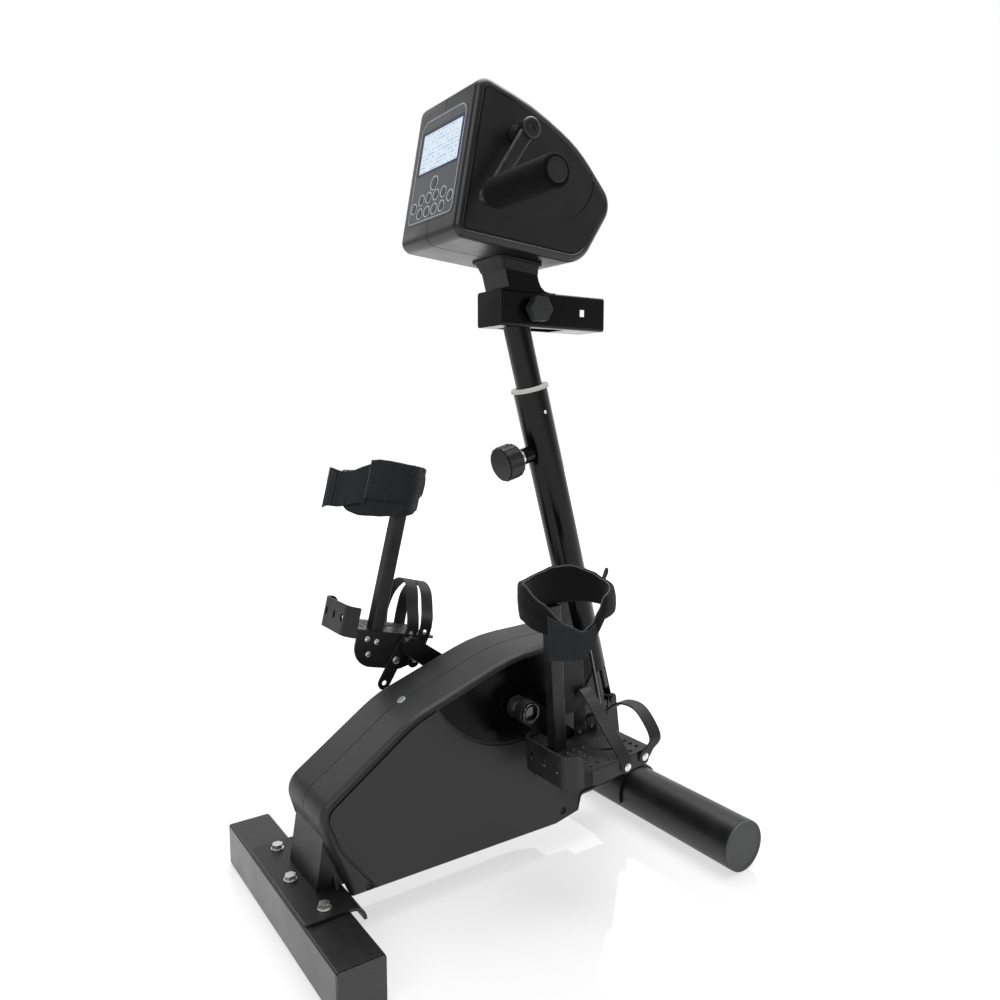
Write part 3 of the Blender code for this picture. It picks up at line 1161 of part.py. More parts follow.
def strap(name, frame_of, side):
    """A punched strap: up from its outer nub, over the foot, down the side plate past its inner nub."""
    outer, arch, hole, inner, end = STRAP_ROUTES[name, side]
    out_x = FOOTPLATE_OUTER_X + GAP + STRAP_THICKNESS / 2
    in_x = SIDE_PLATE_X - GAP - STRAP_THICKNESS / 2
    below = (outer[0], outer[1] - STRAP_WIDTH * 0.42)
    points = [(out_x, *below), (out_x, *outer), (out_x, outer[0] * 0.6 + arch[0][1] * 0.4, 0.018)]
    points += [(out_x + dx, y, z) for dx, y, z in arch]
    points += [(in_x, hole[0], hole[1] + 0.016), (in_x, *hole), (in_x, *inner), (in_x, *end)]
    path = smooth_path(points, 2)
    directions = []
    for i, point in enumerate(path):
        tangent = (path[min(i + 1, len(path) - 1)] - path[max(i - 1, 0)]).normalized()
        toe = Vector((0, 1, 0)) - tangent * tangent.y
        directions.append(toe.normalized() * STRAP_WIDTH / 2)
    band = ribbon(path, directions, STRAP_THICKNESS)
    holes = [(hole, STRAP_HOLE_RADIUS), (inner, NUB_RADIUS + GAP), ((0, 0), SPINDLE_RADIUS + 2 * RUNNING_GAP)]
    if name == "instep_strap":
        last = tuple(near + (far - near) * STRAP_END_HOLE for near, far in zip(inner, end))
        holes.append((last, STRAP_HOLE_RADIUS))
    tools = [rod(radius, in_x - 0.01, in_x + 0.01, along_x(*place), 8) for place, radius in holes]
    tools.append(rod(NUB_RADIUS + GAP, out_x - 0.01, out_x + 0.01, along_x(*outer), 8))
    place_pedal(cut(band, *tools), name, frame_of, side,
                material("black_moulded_strap", BLACK_RUBBER, 0.6))


def place_pedal(obj, name, frame_of, side, look):
    if side < 0:
        obj = mirrored_here(obj)
    moved(obj, frame_of)
    finished(obj, name + ("_right" if side > 0 else "_left"), look, frame_of.translation)


def pedal(side):
    pitch = RIGHT_PEDAL_PITCH if side > 0 else LEFT_PEDAL_PITCH
    frame_of = Matrix.Translation((0, *spindle_place(side))) @ Matrix.Rotation(math.radians(pitch), 4, "X")
    footplate(frame_of, side)
    heel_cup(frame_of, side)
    calf_post(frame_of, side)
    calf_cuff(frame_of, side)
    strap("toe_strap", frame_of, side)
    strap("instep_strap", frame_of, side)


# Post

def pin_frame(back=0.0):
    """Z points from the post's axis to the user, square to the post, at the pull pin."""
    return in_post(PIN_STATION) @ Matrix.Rotation(math.radians(90), 4, "X") @ Matrix.Translation((0, 0, back))


def outer_post():
    inner = OUTER_POST_RADIUS - OUTER_POST_WALL
    low = -TONGUE_LENGTH
    tube = turned([(OUTER_POST_RADIUS, OUTER_POST_LENGTH), (OUTER_POST_RADIUS, low), (inner, low),
                   (inner, OUTER_POST_LENGTH)], in_post(0), 28)
    half = OUTER_POST_RADIUS * math.sin(math.radians(TONGUE_HALF_ANGLE))
    chord = OUTER_POST_RADIUS * math.cos(math.radians(TONGUE_HALF_ANGLE)) - 0.004
    away = OUTER_POST_RADIUS + 0.01
    front = block((-away, -away, low - 0.01), (away, chord, 0), in_post(0))
    right = block((half, -away, low - 0.01), (away, away, 0), in_post(0))
    left = block((-away, -away, low - 0.01), (-half, away, 0), in_post(0))
    barrel_frame = in_post(low - BARREL_RADIUS / 2, BARREL_OFFSET)
    hinge = barrel_frame.translation
    barrel = rod(BARREL_RADIUS, -BARREL_LENGTH / 2, BARREL_LENGTH / 2, along_x(hinge.y, hinge.z), 16)
    barrel_bore = rod(LUG_BOLT_RADIUS + BOLT_GAP, -0.05, 0.05, along_x(hinge.y, hinge.z), 12)
    collar = rod(PIN_COLLAR_RADIUS, inner + 0.0005, OUTER_POST_RADIUS + PIN_COLLAR_LENGTH, pin_frame(), 18)
    pin_bore = rod(PIN_RADIUS + RUNNING_GAP, 0.010, 0.060, pin_frame(), 20)
    post = joined(cut(tube, front, right, left), barrel, collar)
    finished(cut(post, pin_bore, barrel_bore), "outer_post",
             material("black_glossy_post", BLACK_PAINT, 0.2))


def post_bushing():
    bore = INNER_POST_RADIUS + RUNNING_GAP
    outer = OUTER_POST_RADIUS - OUTER_POST_WALL - GAP
    seat = OUTER_POST_LENGTH + GAP
    top = seat + BUSHING_FLANGE
    profile = [(bore, top), (BUSHING_RADIUS - 0.0015, top), (BUSHING_RADIUS, top - 0.0015),
               (BUSHING_RADIUS, seat), (outer, seat), (outer, seat - BUSHING_DEPTH),
               (bore, seat - BUSHING_DEPTH)]
    finished(turned(profile, in_post(0), 28), "post_bushing", material("white_nylon", WHITE_NYLON, 0.5),
             in_post(seat).translation)


def pull_pin():
    tip = INNER_POST_RADIUS + GAP
    sleeve = OUTER_POST_RADIUS + PIN_COLLAR_LENGTH + GAP
    knob_back = sleeve + PIN_SLEEVE_LENGTH
    knob_front = knob_back + PIN_KNOB_LENGTH
    steps = PIN_KNOB_FLUTES * 2
    ribs = []
    for k in range(steps):
        angle = 2 * math.pi * k / steps
        radius = PIN_KNOB_RADIUS - (PIN_KNOB_FLUTE_DEPTH if k % 2 == 0 else 0.0)
        ribs.append((radius * math.cos(angle), radius * math.sin(angle)))
    body = extrusion([ribs], PIN_KNOB_LENGTH - 0.004, pin_frame(), (knob_back + knob_front) / 2)
    crown = rod(PIN_KNOB_RADIUS - 0.0022, knob_back - 0.001, knob_front, pin_frame(), 20)
    neck = rod(PIN_SLEEVE_RADIUS, sleeve, knob_back + 0.002, pin_frame(), 16)
    pin = rod(PIN_RADIUS, tip, sleeve + 0.002, pin_frame(), 14)
    finished(joined(body, crown, neck, pin), "pull_pin_knob",
             material("black_ribbed_knob", BLACK_PLASTIC, 0.4), pin_frame(sleeve).translation)


def sleeve_middle_z():
    return SLEEVE_BOTTOM + SLEEVE_HEIGHT / 2


def inner_post():
    inner = INNER_POST_RADIUS - INNER_POST_WALL
    half_x = SLEEVE_WIDTH / 2 - SLEEVE_WALL - SLIDE_GAP
    half_z = SLEEVE_HEIGHT / 2 - SLEEVE_WALL - SLIDE_GAP
    middle = sleeve_middle_z()
    top = (middle - half_z + TBAR_WALL / 2 - POST_BASE_Z) / math.cos(math.radians(POST_LEAN))
    tube = turned([(INNER_POST_RADIUS, top + 0.008), (INNER_POST_RADIUS, INNER_POST_START),
                   (inner, INNER_POST_START), (inner, top + 0.008)], in_post(0), 26)
    over = block((-0.05, -0.2, middle - half_z + TBAR_WALL / 2), (0.05, 0.3, middle + 0.1))
    tube = cut(tube, over)
    start = SLEEVE_FRONT_Y + SLEEVE_WALL + 0.0015
    bar = extrusion([rounded_box(2 * half_x, 2 * half_z, 0.0036, (0, middle)),
                     rounded_box(2 * (half_x - TBAR_WALL), 2 * (half_z - TBAR_WALL), 0.001, (0, middle))],
                    TBAR_LENGTH, FRONT, -(start + TBAR_LENGTH / 2))
    holes = []
    for k in range(PIN_HOLE_COUNT):
        station = PIN_STATION + (k - 3) * PIN_HOLE_PITCH
        frame = in_post(station) @ Matrix.Rotation(math.radians(90), 4, "X")
        holes.append(rod(PIN_RADIUS + RUNNING_GAP, 0.008, 0.030, frame, 12))
    post = cut(joined(bar, tube), *holes)
    finished(post, "inner_post", material("black_glossy_inner_post", BLACK_PAINT, 0.2))


def neck_frame():
    """Z up the leaning neck, X across, Y to the back; the origin is on the sleeve's top."""
    return (Matrix.Translation((0, NECK_Y, SLEEVE_BOTTOM + SLEEVE_HEIGHT))
            @ Matrix.Rotation(math.radians(POST_LEAN), 4, "X"))


def head_bracket():
    middle = sleeve_middle_z()
    back = SLEEVE_FRONT_Y + SLEEVE_LENGTH
    centre_y = (SLEEVE_FRONT_Y + back) / 2
    outside = extrusion([rounded_box(SLEEVE_WIDTH, SLEEVE_HEIGHT, SLEEVE_CORNER, (0, middle))],
                        SLEEVE_LENGTH, FRONT, -centre_y)
    outside = softened(outside, 0.003, 2, lambda ends: all(abs(p.y - SLEEVE_FRONT_Y) < 0.0001 for p in ends))
    inside = extrusion([rounded_box(SLEEVE_WIDTH - 2 * SLEEVE_WALL, SLEEVE_HEIGHT - 2 * SLEEVE_WALL, 0.002,
                                    (0, middle))], SLEEVE_LENGTH, FRONT, -centre_y - SLEEVE_WALL)
    post_y = POST_BASE_Y - math.tan(math.radians(POST_LEAN)) * (SLEEVE_BOTTOM - POST_BASE_Z)
    slot_half = INNER_POST_RADIUS + SLIDE_GAP
    stretch = 1 / math.cos(math.radians(POST_LEAN))
    slot_reach = slot_half * stretch + 0.0015
    slot = block((-slot_half, post_y - slot_reach, SLEEVE_BOTTOM - 0.01),
                 (slot_half, post_y + slot_reach + HEAD_SLIDE, SLEEVE_BOTTOM + SLEEVE_WALL + 0.003))
    square = SQUARE_HOLE / 2
    hole = block((-0.05, SQUARE_HOLE_Y - square, middle - square),
                 (0.05, SQUARE_HOLE_Y + square, middle + square))
    top = SLEEVE_BOTTOM + SLEEVE_HEIGHT
    lean = math.tan(math.radians(POST_LEAN))
    rise = NECK_TOP_Z - top
    front_y = NECK_Y - NECK_DEPTH / 2
    back_y = NECK_Y + NECK_DEPTH / 2
    neck_outline = filleted([(front_y + 0.001 * lean, top - 0.001, 0), (back_y + 0.026, top - 0.001, 0),
                             (back_y + 0.026, top + 0.0002, 0), (back_y, top + 0.0002, NECK_FILLET),
                             (back_y - rise * lean, NECK_TOP_Z, 0), (front_y - rise * lean, NECK_TOP_Z, 0)])
    neck = extrusion([neck_outline], SLEEVE_WIDTH - 0.002, SIDE)
    hollow_outline = [(front_y + NECK_WALL, top + 0.003), (back_y - NECK_WALL, top + 0.003),
                      (back_y - NECK_WALL - (rise + 0.01) * lean, NECK_TOP_Z + 0.01),
                      (front_y + NECK_WALL - (rise + 0.01) * lean, NECK_TOP_Z + 0.01)]
    neck_hollow = extrusion([hollow_outline], SLEEVE_WIDTH - 2 * NECK_WALL, SIDE)
    cheek_in = HAND_MOTOR_HALF + GAP
    cheek_x = cheek_in + CHEEK_THICKNESS / 2
    root_y = NECK_Y - rise * lean
    root_z = NECK_TOP_Z - 0.006
    cheek_outline = (arc((HAND_Y, HAND_Z), CHEEK_RADIUS, -20, 200, 12)
                     + [(root_y - NECK_DEPTH / 2, root_z), (root_y + NECK_DEPTH / 2, root_z)])
    cheek_hole = circle((HAND_Y, HAND_Z), HAND_AXLE_RADIUS + 0.001, 16)
    cheeks = [extrusion([cheek_outline, cheek_hole], CHEEK_THICKNESS, SIDE, side * cheek_x)
              for side in (1, -1)]
    seat_in = SLEEVE_WIDTH / 2 - 0.004
    seat_out = cheek_in + CHEEK_THICKNESS
    seat_half = NECK_DEPTH / 2 - 0.004
    seats = [block((low, root_y - seat_half, root_z), (high, root_y + seat_half, NECK_TOP_Z - 0.001))
             for low, high in ((seat_in, seat_out), (-seat_out, -seat_in))]
    boss = rod(STAR_BOSS_RADIUS, SLEEVE_WIDTH / 2 - 0.001, SLEEVE_WIDTH / 2 + STAR_BOSS_THICKNESS,
               along_x(STAR_Y, middle), 16)
    screw_hole = rod(STAR_SCREW_RADIUS + BOLT_GAP, 0.02, 0.06, along_x(STAR_Y, middle), 16)
    body = joined(cut(outside, inside), cut(neck, neck_hollow), boss, *cheeks, *seats)
    finished(cut(body, slot, hole, screw_hole), "head_bracket",
             material("black_painted_bracket", BLACK_PAINT, 0.3))


def star_knob():
    middle = sleeve_middle_z()
    tip = SLEEVE_WIDTH / 2 - SLEEVE_WALL - SLIDE_GAP + GAP
    back = SLEEVE_WIDTH / 2 + STAR_BOSS_THICKNESS + GAP
    front = back + STAR_THICKNESS
    outline = []
    steps = STAR_LOBES * 6
    for k in range(steps):
        angle = 2 * math.pi * k / steps
        radius = STAR_RADIUS - STAR_DEPTH / 2 * (1 - math.cos(STAR_LOBES * angle))
        outline.append((STAR_Y + radius * math.cos(angle), middle + radius * math.sin(angle)))
    head = extrusion([outline], STAR_THICKNESS, SIDE, (back + front) / 2)
    head = softened(head, 0.0015, 1, lambda ends: all(abs(p.x - front) < 0.0001 for p in ends))
    screw = rod(STAR_SCREW_RADIUS, tip, back + 0.002, along_x(STAR_Y, middle), 16)
    finished(joined(head, screw), "star_knob", material("black_star_knob", BLACK_PLASTIC, 0.5),
             (0, STAR_Y, middle))


def neck_boot():
    top = SLEEVE_BOTTOM + SLEEVE_HEIGHT
    station = (BOOT_BOTTOM_Z - top) / math.cos(math.radians(POST_LEAN))
    depth = NECK_DEPTH * math.cos(math.radians(POST_LEAN))
    hole = rounded_box(SLEEVE_WIDTH - 0.002 + 2 * GAP, depth + 2 * GAP + 0.0004, 0.0005)
    outside = rounded_box(SLEEVE_WIDTH + 2 * BOOT_MARGIN, depth + 2 * BOOT_MARGIN, 0.005)
    lip = rounded_box(SLEEVE_WIDTH + 2 * BOOT_MARGIN + 0.004, depth + 2 * BOOT_MARGIN + 0.004, 0.006)
    frame = neck_frame()
    body = extrusion([outside], BOOT_HEIGHT, frame, station + BOOT_HEIGHT / 2)
    rim = extrusion([lip], 0.003, frame, station + BOOT_HEIGHT - 0.0045)
    opening = extrusion([hole], 0.1, frame, station)
    finished(cut(joined(body, rim), opening), "neck_boot", material("black_rubber_boot", BLACK_RUBBER, 0.7),
             (frame @ Matrix.Translation((0, 0, station))).translation)


# Head

def head_corners():
    """The head from the right side: y, z and corner radius, anticlockwise from its lower back corner."""
    return [(0.1140, 0.8613, 0.045), (0.1721, 0.9496, 0.032), (0.1071, 1.0180, 0.180),
            (0.0285, 1.0573, 0.300), (-0.0545, 1.0790, 0.016), (-0.0934, 0.8773, 0.010)]


def console_frame():
    """X across, Y up the face, Z out of it; the origin is in the middle of the console."""
    low = Vector((0, *head_corners()[5][:2]))
    high = Vector((0, *head_corners()[4][:2]))
    up = (high - low).normalized()
    out = Vector((1, 0, 0)).cross(up)
    middle = low + up * CONSOLE_UP
    return Matrix(((1, up.x, out.x, middle.x), (0, up.y, out.y, middle.y), (0, up.z, out.z, middle.z),
                   (0, 0, 0, 1)))


def head_shells():
    look = material("black_moulded_head", BLACK_PLASTIC, 0.4)
    shell = half_shell(head_corners(), HEAD_HALF_WIDTH, HEAD_WALL, HEAD_EDGE, HEAD_RECESS)
    panel = extrusion([filleted(inset_corners(head_corners(), HEAD_EDGE + HEAD_RIM))], 0.02, SIDE,
                      HEAD_HALF_WIDTH - HEAD_RECESS + 0.01)
    window = extrusion([rounded_box(PANEL_WIDTH + 2 * GAP, PANEL_HEIGHT + 2 * GAP, PANEL_CORNER)], 0.02,
                       console_frame())
    axle_hole = rod(HAND_AXLE_RADIUS + 0.001, 0.03, 0.09, along_x(HAND_Y, HAND_Z), 16)
    depth = NECK_DEPTH * math.cos(math.radians(POST_LEAN))
    margin = 2 * BOOT_MARGIN + 0.006
    neck_hole = extrusion([rounded_box(SLEEVE_WIDTH + margin, depth + margin, 0.006)], 0.05, neck_frame(),
                          0.042)
    right = cut(shell, panel, window, axle_hole, neck_hole)
    left = mirrored(right)
    finished(right, "head_shell_right", look)
    finished(left, "head_shell_left", look)


def button_places():
    places = [(0.0, LARGE_BUTTON_UP, LARGE_BUTTON_RADIUS)]
    places += [(x, BUTTON_ROWS[0], BUTTON_RADIUS) for x in BUTTON_COLUMNS]
    places += [(x, OUTER_BUTTON_UP, BUTTON_RADIUS) for x in (-OUTER_BUTTON_X, OUTER_BUTTON_X)]
    places += [(x, BUTTON_ROWS[1], BUTTON_RADIUS) for x in BUTTON_COLUMNS]
    return places


def console():
    frame = console_frame()
    window = rounded_box(LCD_WIDTH + 2 * GAP, LCD_HEIGHT + 2 * GAP, 0.0015, (0, LCD_UP))
    holes = [circle((x, up), radius + 1.5 * GAP, 10) for x, up, radius in button_places()]
    panel = extrusion([rounded_box(PANEL_WIDTH, PANEL_HEIGHT, PANEL_CORNER), window, *holes],
                      PANEL_THICKNESS, frame, PANEL_PROUD - PANEL_THICKNESS / 2)
    finished(panel, "console_panel", material("grey_console_overlay", GREY_PANEL, 0.45), frame.translation)
    screen = extrusion([rounded_box(LCD_WIDTH, LCD_HEIGHT, 0.001, (0, LCD_UP))], LCD_THICKNESS, frame,
                       -LCD_SUNK - LCD_THICKNESS / 2)
    finished(screen, "lcd_screen", material("lit_screen", SCREEN_BLUE, 0.15),
             (frame @ Matrix.Translation((0, LCD_UP, 0))).translation)
    back = PANEL_PROUD - PANEL_THICKNESS
    lip_front = back - GAP
    lip_back = lip_front - BUTTON_LIP_THICKNESS
    look = material("grey_button", GREY_PANEL, 0.5)
    for index, (x, up, radius) in enumerate(button_places()):
        place = frame @ Matrix.Translation((x, up, 0))
        front = PANEL_PROUD + BUTTON_PROUD
        profile = [(0, front), (radius, front), (radius, lip_front),
                   (radius + BUTTON_LIP, lip_front), (radius + BUTTON_LIP, lip_back), (0, lip_back)]
        finished(turned(profile, place, 10), f"button_{index + 1}", look, place.translation)
    board = extrusion([rounded_box(PANEL_WIDTH - 0.006, PANEL_HEIGHT - 0.006, 0.004)], BOARD_THICKNESS, frame,
                      -BOARD_DEPTH - BOARD_THICKNESS / 2)
    posts = []
    for x, up, radius in button_places():
        posts.append(rod(STANDOFF_RADIUS, -BOARD_DEPTH - 0.0008, lip_back - BUTTON_TRAVEL - GAP,
                         frame @ Matrix.Translation((x, up, 0)), 5))
    standoff_x = PANEL_WIDTH / 2 - 0.0065
    standoff_up = PANEL_HEIGHT / 2 - 0.0075
    for x in (-standoff_x, standoff_x):
        for up in (-standoff_up, standoff_up):
            posts.append(rod(STANDOFF_RADIUS, -BOARD_DEPTH - 0.0008, back - GAP,
                             frame @ Matrix.Translation((x, up, 0)), 6))
    finished(joined(board, *posts), "console_board", material("green_board", BOARD_GREEN, 0.5),
             frame.translation)


def hand_drive():
    axis = along_x(HAND_Y, HAND_Z)
    centre = (0, HAND_Y, HAND_Z)
    end = HAND_ARM_X + HAND_BOSS_LENGTH - ARM_CAP - GAP
    flange_in = HAND_HEAD_FACE + 0.0008
    flange_out = flange_in + HAND_FLANGE_THICKNESS
    profile = [(0, end), (HAND_AXLE_RADIUS, end), (HAND_AXLE_RADIUS, flange_out),
               (HAND_FLANGE_RADIUS, flange_out), (HAND_FLANGE_RADIUS, flange_in),
               (HAND_AXLE_RADIUS, flange_in)]
    below = [(r, -h) for r, h in reversed(profile)]
    finished(turned(profile + below, axis, 16), "hand_axle",
             material("black_hand_axle", BLACK_PAINT, 0.35), centre)
    bore = HAND_AXLE_RADIUS + RUNNING_GAP
    half = HAND_MOTOR_HALF
    body = [(HAND_MOTOR_RADIUS - 0.003, half), (HAND_MOTOR_RADIUS, half - 0.003)]
    body = body + [(r, -h) for r, h in reversed(body)] + [(bore, -half), (bore, half)]
    finished(turned(body, axis, 16), "hand_motor", material("silver_gear_motor", STEEL, 0.4, 1.0), centre)


def hand_end_place(side):
    angle = math.radians(HAND_ANGLE + (0 if side > 0 else 180))
    return HAND_Y + HAND_LENGTH * math.cos(angle), HAND_Z + HAND_LENGTH * math.sin(angle)


def hand_crank(side):
    y, z = hand_end_place(side)
    middle = HAND_ARM_X + HAND_ARM_THICKNESS / 2
    axis = along_x(HAND_Y, HAND_Z)
    outline = hull_of_circles((HAND_Y, HAND_Z), HAND_END_RADIUS + 0.001, (y, z), HAND_END_RADIUS - 0.001, 8)
    link = extrusion([outline], HAND_ARM_LINK, SIDE, middle)
    face = HAND_ARM_X + HAND_BOSS_LENGTH
    boss = turned([(0, face), (HAND_BOSS_RADIUS - 0.0035, face), (HAND_BOSS_RADIUS, face - 0.0015),
                   (HAND_BOSS_RADIUS, HAND_ARM_X), (0, HAND_ARM_X)], axis, 22)
    eye = rod(HAND_END_RADIUS + 0.001, HAND_ARM_X + 0.001, HAND_ARM_X + HAND_ARM_THICKNESS, along_x(y, z), 18)
    nut = rod(0.0075, HAND_ARM_X - 0.005, HAND_ARM_X + 0.002, along_x(y, z), 6)
    stud = rod(STUD_RADIUS, HAND_ARM_X + 0.002, GRIP_END_X - GRIP_END_CAP - GAP, along_x(y, z), 10)
    bore = rod(HAND_AXLE_RADIUS + GAP, HAND_ARM_X - 0.02, face - ARM_CAP, axis, 14)
    arm = cut(joined(link, boss, eye, nut, stud), bore)
    bore_radius = STUD_RADIUS + RUNNING_GAP
    outer = GRIP_END_X
    disc = GRIP_RADIUS - 0.0052
    grip = turned([(0, outer - 0.0006), (disc - 0.0003, outer - 0.0006), (disc, outer),
                   (GRIP_RADIUS - 0.003, outer), (GRIP_RADIUS, outer - 0.003),
                   (GRIP_RADIUS, GRIP_START_X + 0.022), (GRIP_NECK_RADIUS, GRIP_START_X + 0.004),
                   (GRIP_NECK_RADIUS - 0.003, GRIP_START_X), (bore_radius, GRIP_START_X),
                   (bore_radius, outer - GRIP_END_CAP), (0, outer - GRIP_END_CAP)], along_x(y, z), 22)
    if side < 0:
        arm = mirrored_here(arm)
        grip = mirrored_here(grip)
    word = "right" if side > 0 else "left"
    finished(arm, "hand_crank_" + word, material("black_cast_hand_crank", BLACK_PAINT, 0.4),
             (0, HAND_Y, HAND_Z))
    finished(grip, "hand_grip_" + word, material("black_foam_grip", BLACK_FABRIC, 0.95), (0, y, z))


front_foot()
front_foot_bolts()
rear_foot()
rear_foot_bolts()
main_frame()
fairing()
lower_drive()
crank_arm(1)
crank_arm(-1)
pedal(1)
pedal(-1)
outer_post()
post_bushing()
pull_pin()
inner_post()
head_bracket()
star_knob()
neck_boot()
head_shells()
console()
hand_drive()
hand_crank(1)
hand_crank(-1)
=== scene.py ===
# Looks of the electric pedal exerciser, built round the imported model.
# Metres, +Z up, +X at the user's right hand. Side 1 is the right, -1 the left.
import json
import math

import bmesh
import bpy
from mathutils import Matrix, Vector, noise


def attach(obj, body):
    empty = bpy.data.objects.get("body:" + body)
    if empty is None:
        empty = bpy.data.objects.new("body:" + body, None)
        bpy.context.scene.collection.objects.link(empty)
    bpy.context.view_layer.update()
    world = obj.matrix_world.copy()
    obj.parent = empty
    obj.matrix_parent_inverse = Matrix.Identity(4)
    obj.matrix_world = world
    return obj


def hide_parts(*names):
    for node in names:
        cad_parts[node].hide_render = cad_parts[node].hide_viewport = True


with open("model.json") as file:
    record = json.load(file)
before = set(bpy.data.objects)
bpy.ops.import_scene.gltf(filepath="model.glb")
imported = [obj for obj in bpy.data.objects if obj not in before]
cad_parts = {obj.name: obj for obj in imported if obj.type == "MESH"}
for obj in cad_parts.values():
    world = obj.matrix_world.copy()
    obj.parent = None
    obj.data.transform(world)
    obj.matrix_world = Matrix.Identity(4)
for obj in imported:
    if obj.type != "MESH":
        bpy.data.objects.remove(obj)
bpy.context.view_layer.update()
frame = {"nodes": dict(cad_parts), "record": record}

scene = bpy.context.scene
cadNodes = frame["nodes"]
print("frame loaded:", len(cadNodes), "nodes")


# Outlines: lists of flat points, in metres

def arcPoints(centre, radius, start, end, steps):
    points = []
    for i in range(steps + 1):
        angle = math.radians(start + (end - start) * i / steps)
        points.append((centre[0] + radius * math.cos(angle), centre[1] + radius * math.sin(angle)))
    return points


def circlePoints(centre, radius, steps=48):
    return arcPoints(centre, radius, 0, 360, steps)[:-1]


def roundedOutline(corners, degreesPerStep=6, repeat=False):
    # corners are (a, b, radius); with repeat a sharp corner gets as many points as a round one
    points = []
    for i, (a, b, radius) in enumerate(corners):
        here = Vector((a, b))
        before = (Vector(corners[i - 1][:2]) - here).normalized()
        after = (Vector(corners[(i + 1) % len(corners)][:2]) - here).normalized()
        turn = math.pi - before.angle(after)
        steps = max(2, round(math.degrees(turn) / degreesPerStep))
        if radius <= 0 or turn < 0.01:
            points += [(a, b)] * (steps + 1 if repeat and turn >= 0.01 else 1)
            continue
        reach = radius * math.tan(turn / 2)
        middle = here + (before + after).normalized() * radius / math.cos(turn / 2)
        first = here + before * reach - middle
        sweep = first.angle_signed(here + after * reach - middle)
        for k in range(steps + 1):
            spun = first.copy()
            spun.rotate(Matrix.Rotation(-sweep * k / steps, 2))
            points.append((middle.x + spun.x, middle.y + spun.y))
    return points


def insetCorners(corners, distance):
    # the same outline moved inwards; its corners run anticlockwise
    moved = []
    for i, (a, b, radius) in enumerate(corners):
        here = Vector((a, b))
        before = (here - Vector(corners[i - 1][:2])).normalized()
        after = (Vector(corners[(i + 1) % len(corners)][:2]) - here).normalized()
        leftBefore = Vector((-before.y, before.x))
        leftAfter = Vector((-after.y, after.x))
        bisector = (leftBefore + leftAfter).normalized()
        reach = distance / max(bisector.dot(leftBefore), 0.2)
        convex = before.x * after.y - before.y * after.x > 0
        point = here + bisector * reach
        moved.append((point.x, point.y, max(radius - distance, 0.0) if convex else radius + distance))
    return moved


def roundedBox(width, height, radius, centre=(0.0, 0.0)):
    a, b = width / 2, height / 2
    corners = [(-a, -b, radius), (a, -b, radius), (a, b, radius), (-a, b, radius)]
    return roundedOutline([(centre[0] + x, centre[1] + y, r) for x, y, r in corners], 9)


def smoothPath(points, steps):
    # points on a smooth curve through the given ones
    path = []
    last = len(points) - 1
    for i in range(last):
        p0, p1 = Vector(points[max(i - 1, 0)]), Vector(points[i])
        p2, p3 = Vector(points[i + 1]), Vector(points[min(i + 2, last)])
        for k in range(steps):
            t = k / steps
            path.append(0.5 * (2 * p1 + (p2 - p0) * t + (2 * p0 - 5 * p1 + 4 * p2 - p3) * t ** 2
                               + (3 * p1 - 3 * p2 + p3 - p0) * t ** 3))
    path.append(Vector(points[last]))
    return path


def slotOutline(first, second, radius, steps=10):
    # two round ends and the straights between them
    angle = math.degrees(math.atan2(second[1] - first[1], second[0] - first[0]))
    return (arcPoints(first, radius, angle + 90, angle + 270, steps)
            + arcPoints(second, radius, angle - 90, angle + 90, steps))


# Places: an outline drawn as seen from the side, and an axis that points outwards on one side

sideView = Matrix(((0, 0, 1, 0), (1, 0, 0, 0), (0, 1, 0, 0), (0, 0, 0, 1)))


def mirrored(side):
    return Matrix.Scale(side, 4, (1, 0, 0))


def alongX(y, z, side=1):
    return mirrored(side) @ Matrix.Translation((0, y, z)) @ Matrix.Rotation(math.radians(90), 4, "Y")


def sideName(side):
    return "right" if side > 0 else "left"


# Mesh makers

weld = 0.000002          # points nearer than this are one
packedWeld = 0.00001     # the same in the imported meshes
tiny = 0.000001          # radius of a turned piece at its axis


def newPiece(name, mesh):
    piece = bpy.data.objects.new(name, mesh)
    scene.collection.objects.link(piece)
    return piece


def meshFrom(name, points, faces, place=None):
    mesh = bpy.data.meshes.new(name)
    mesh.from_pydata([tuple(p) for p in points], [], faces)
    if place is not None:
        mesh.transform(place)
    edit = bmesh.new()
    edit.from_mesh(mesh)
    bmesh.ops.remove_doubles(edit, verts=edit.verts, dist=weld)
    bmesh.ops.recalc_face_normals(edit, faces=edit.faces)
    edit.to_mesh(mesh)
    edit.free()
    return newPiece(name, mesh)


def skinned(name, rings, place=None, closed=False):
    # a skin over rings of points of equal count, its ends closed by a face, or its last ring led to its first
    count = len(rings[0])
    points = [point for ring in rings for point in ring]
    faces = []
    for k in range(len(rings) if closed else len(rings) - 1):
        low, high = k * count, (k + 1) % len(rings) * count
        faces += [(low + i, low + (i + 1) % count, high + (i + 1) % count, high + i) for i in range(count)]
    if not closed:
        faces += [tuple(range(count)), tuple(range((len(rings) - 1) * count, len(rings) * count))]
    return meshFrom(name, points, faces, place)


def lofted(name, levels, place, closed=False):
    # a solid through flat outlines, each (points, height)
    rings = [[(a, b, height) for a, b in outline] for outline, height in levels]
    return skinned(name, rings, place, closed)


def turned(name, profile, place, steps=48):
    # a turned solid: a profile of (radius, height) round the place's Z, closed on itself
    levels = [(circlePoints((0, 0), max(radius, tiny), steps), height) for radius, height in profile]
    return lofted(name, levels, place, profile[0][0] > 0)


def flattened(piece):
    # its modifiers are made part of the mesh
    graph = bpy.context.evaluated_depsgraph_get()
    graph.update()
    mesh = bpy.data.meshes.new_from_object(piece.evaluated_get(graph))
    piece.modifiers.clear()
    piece.data = mesh
    return piece


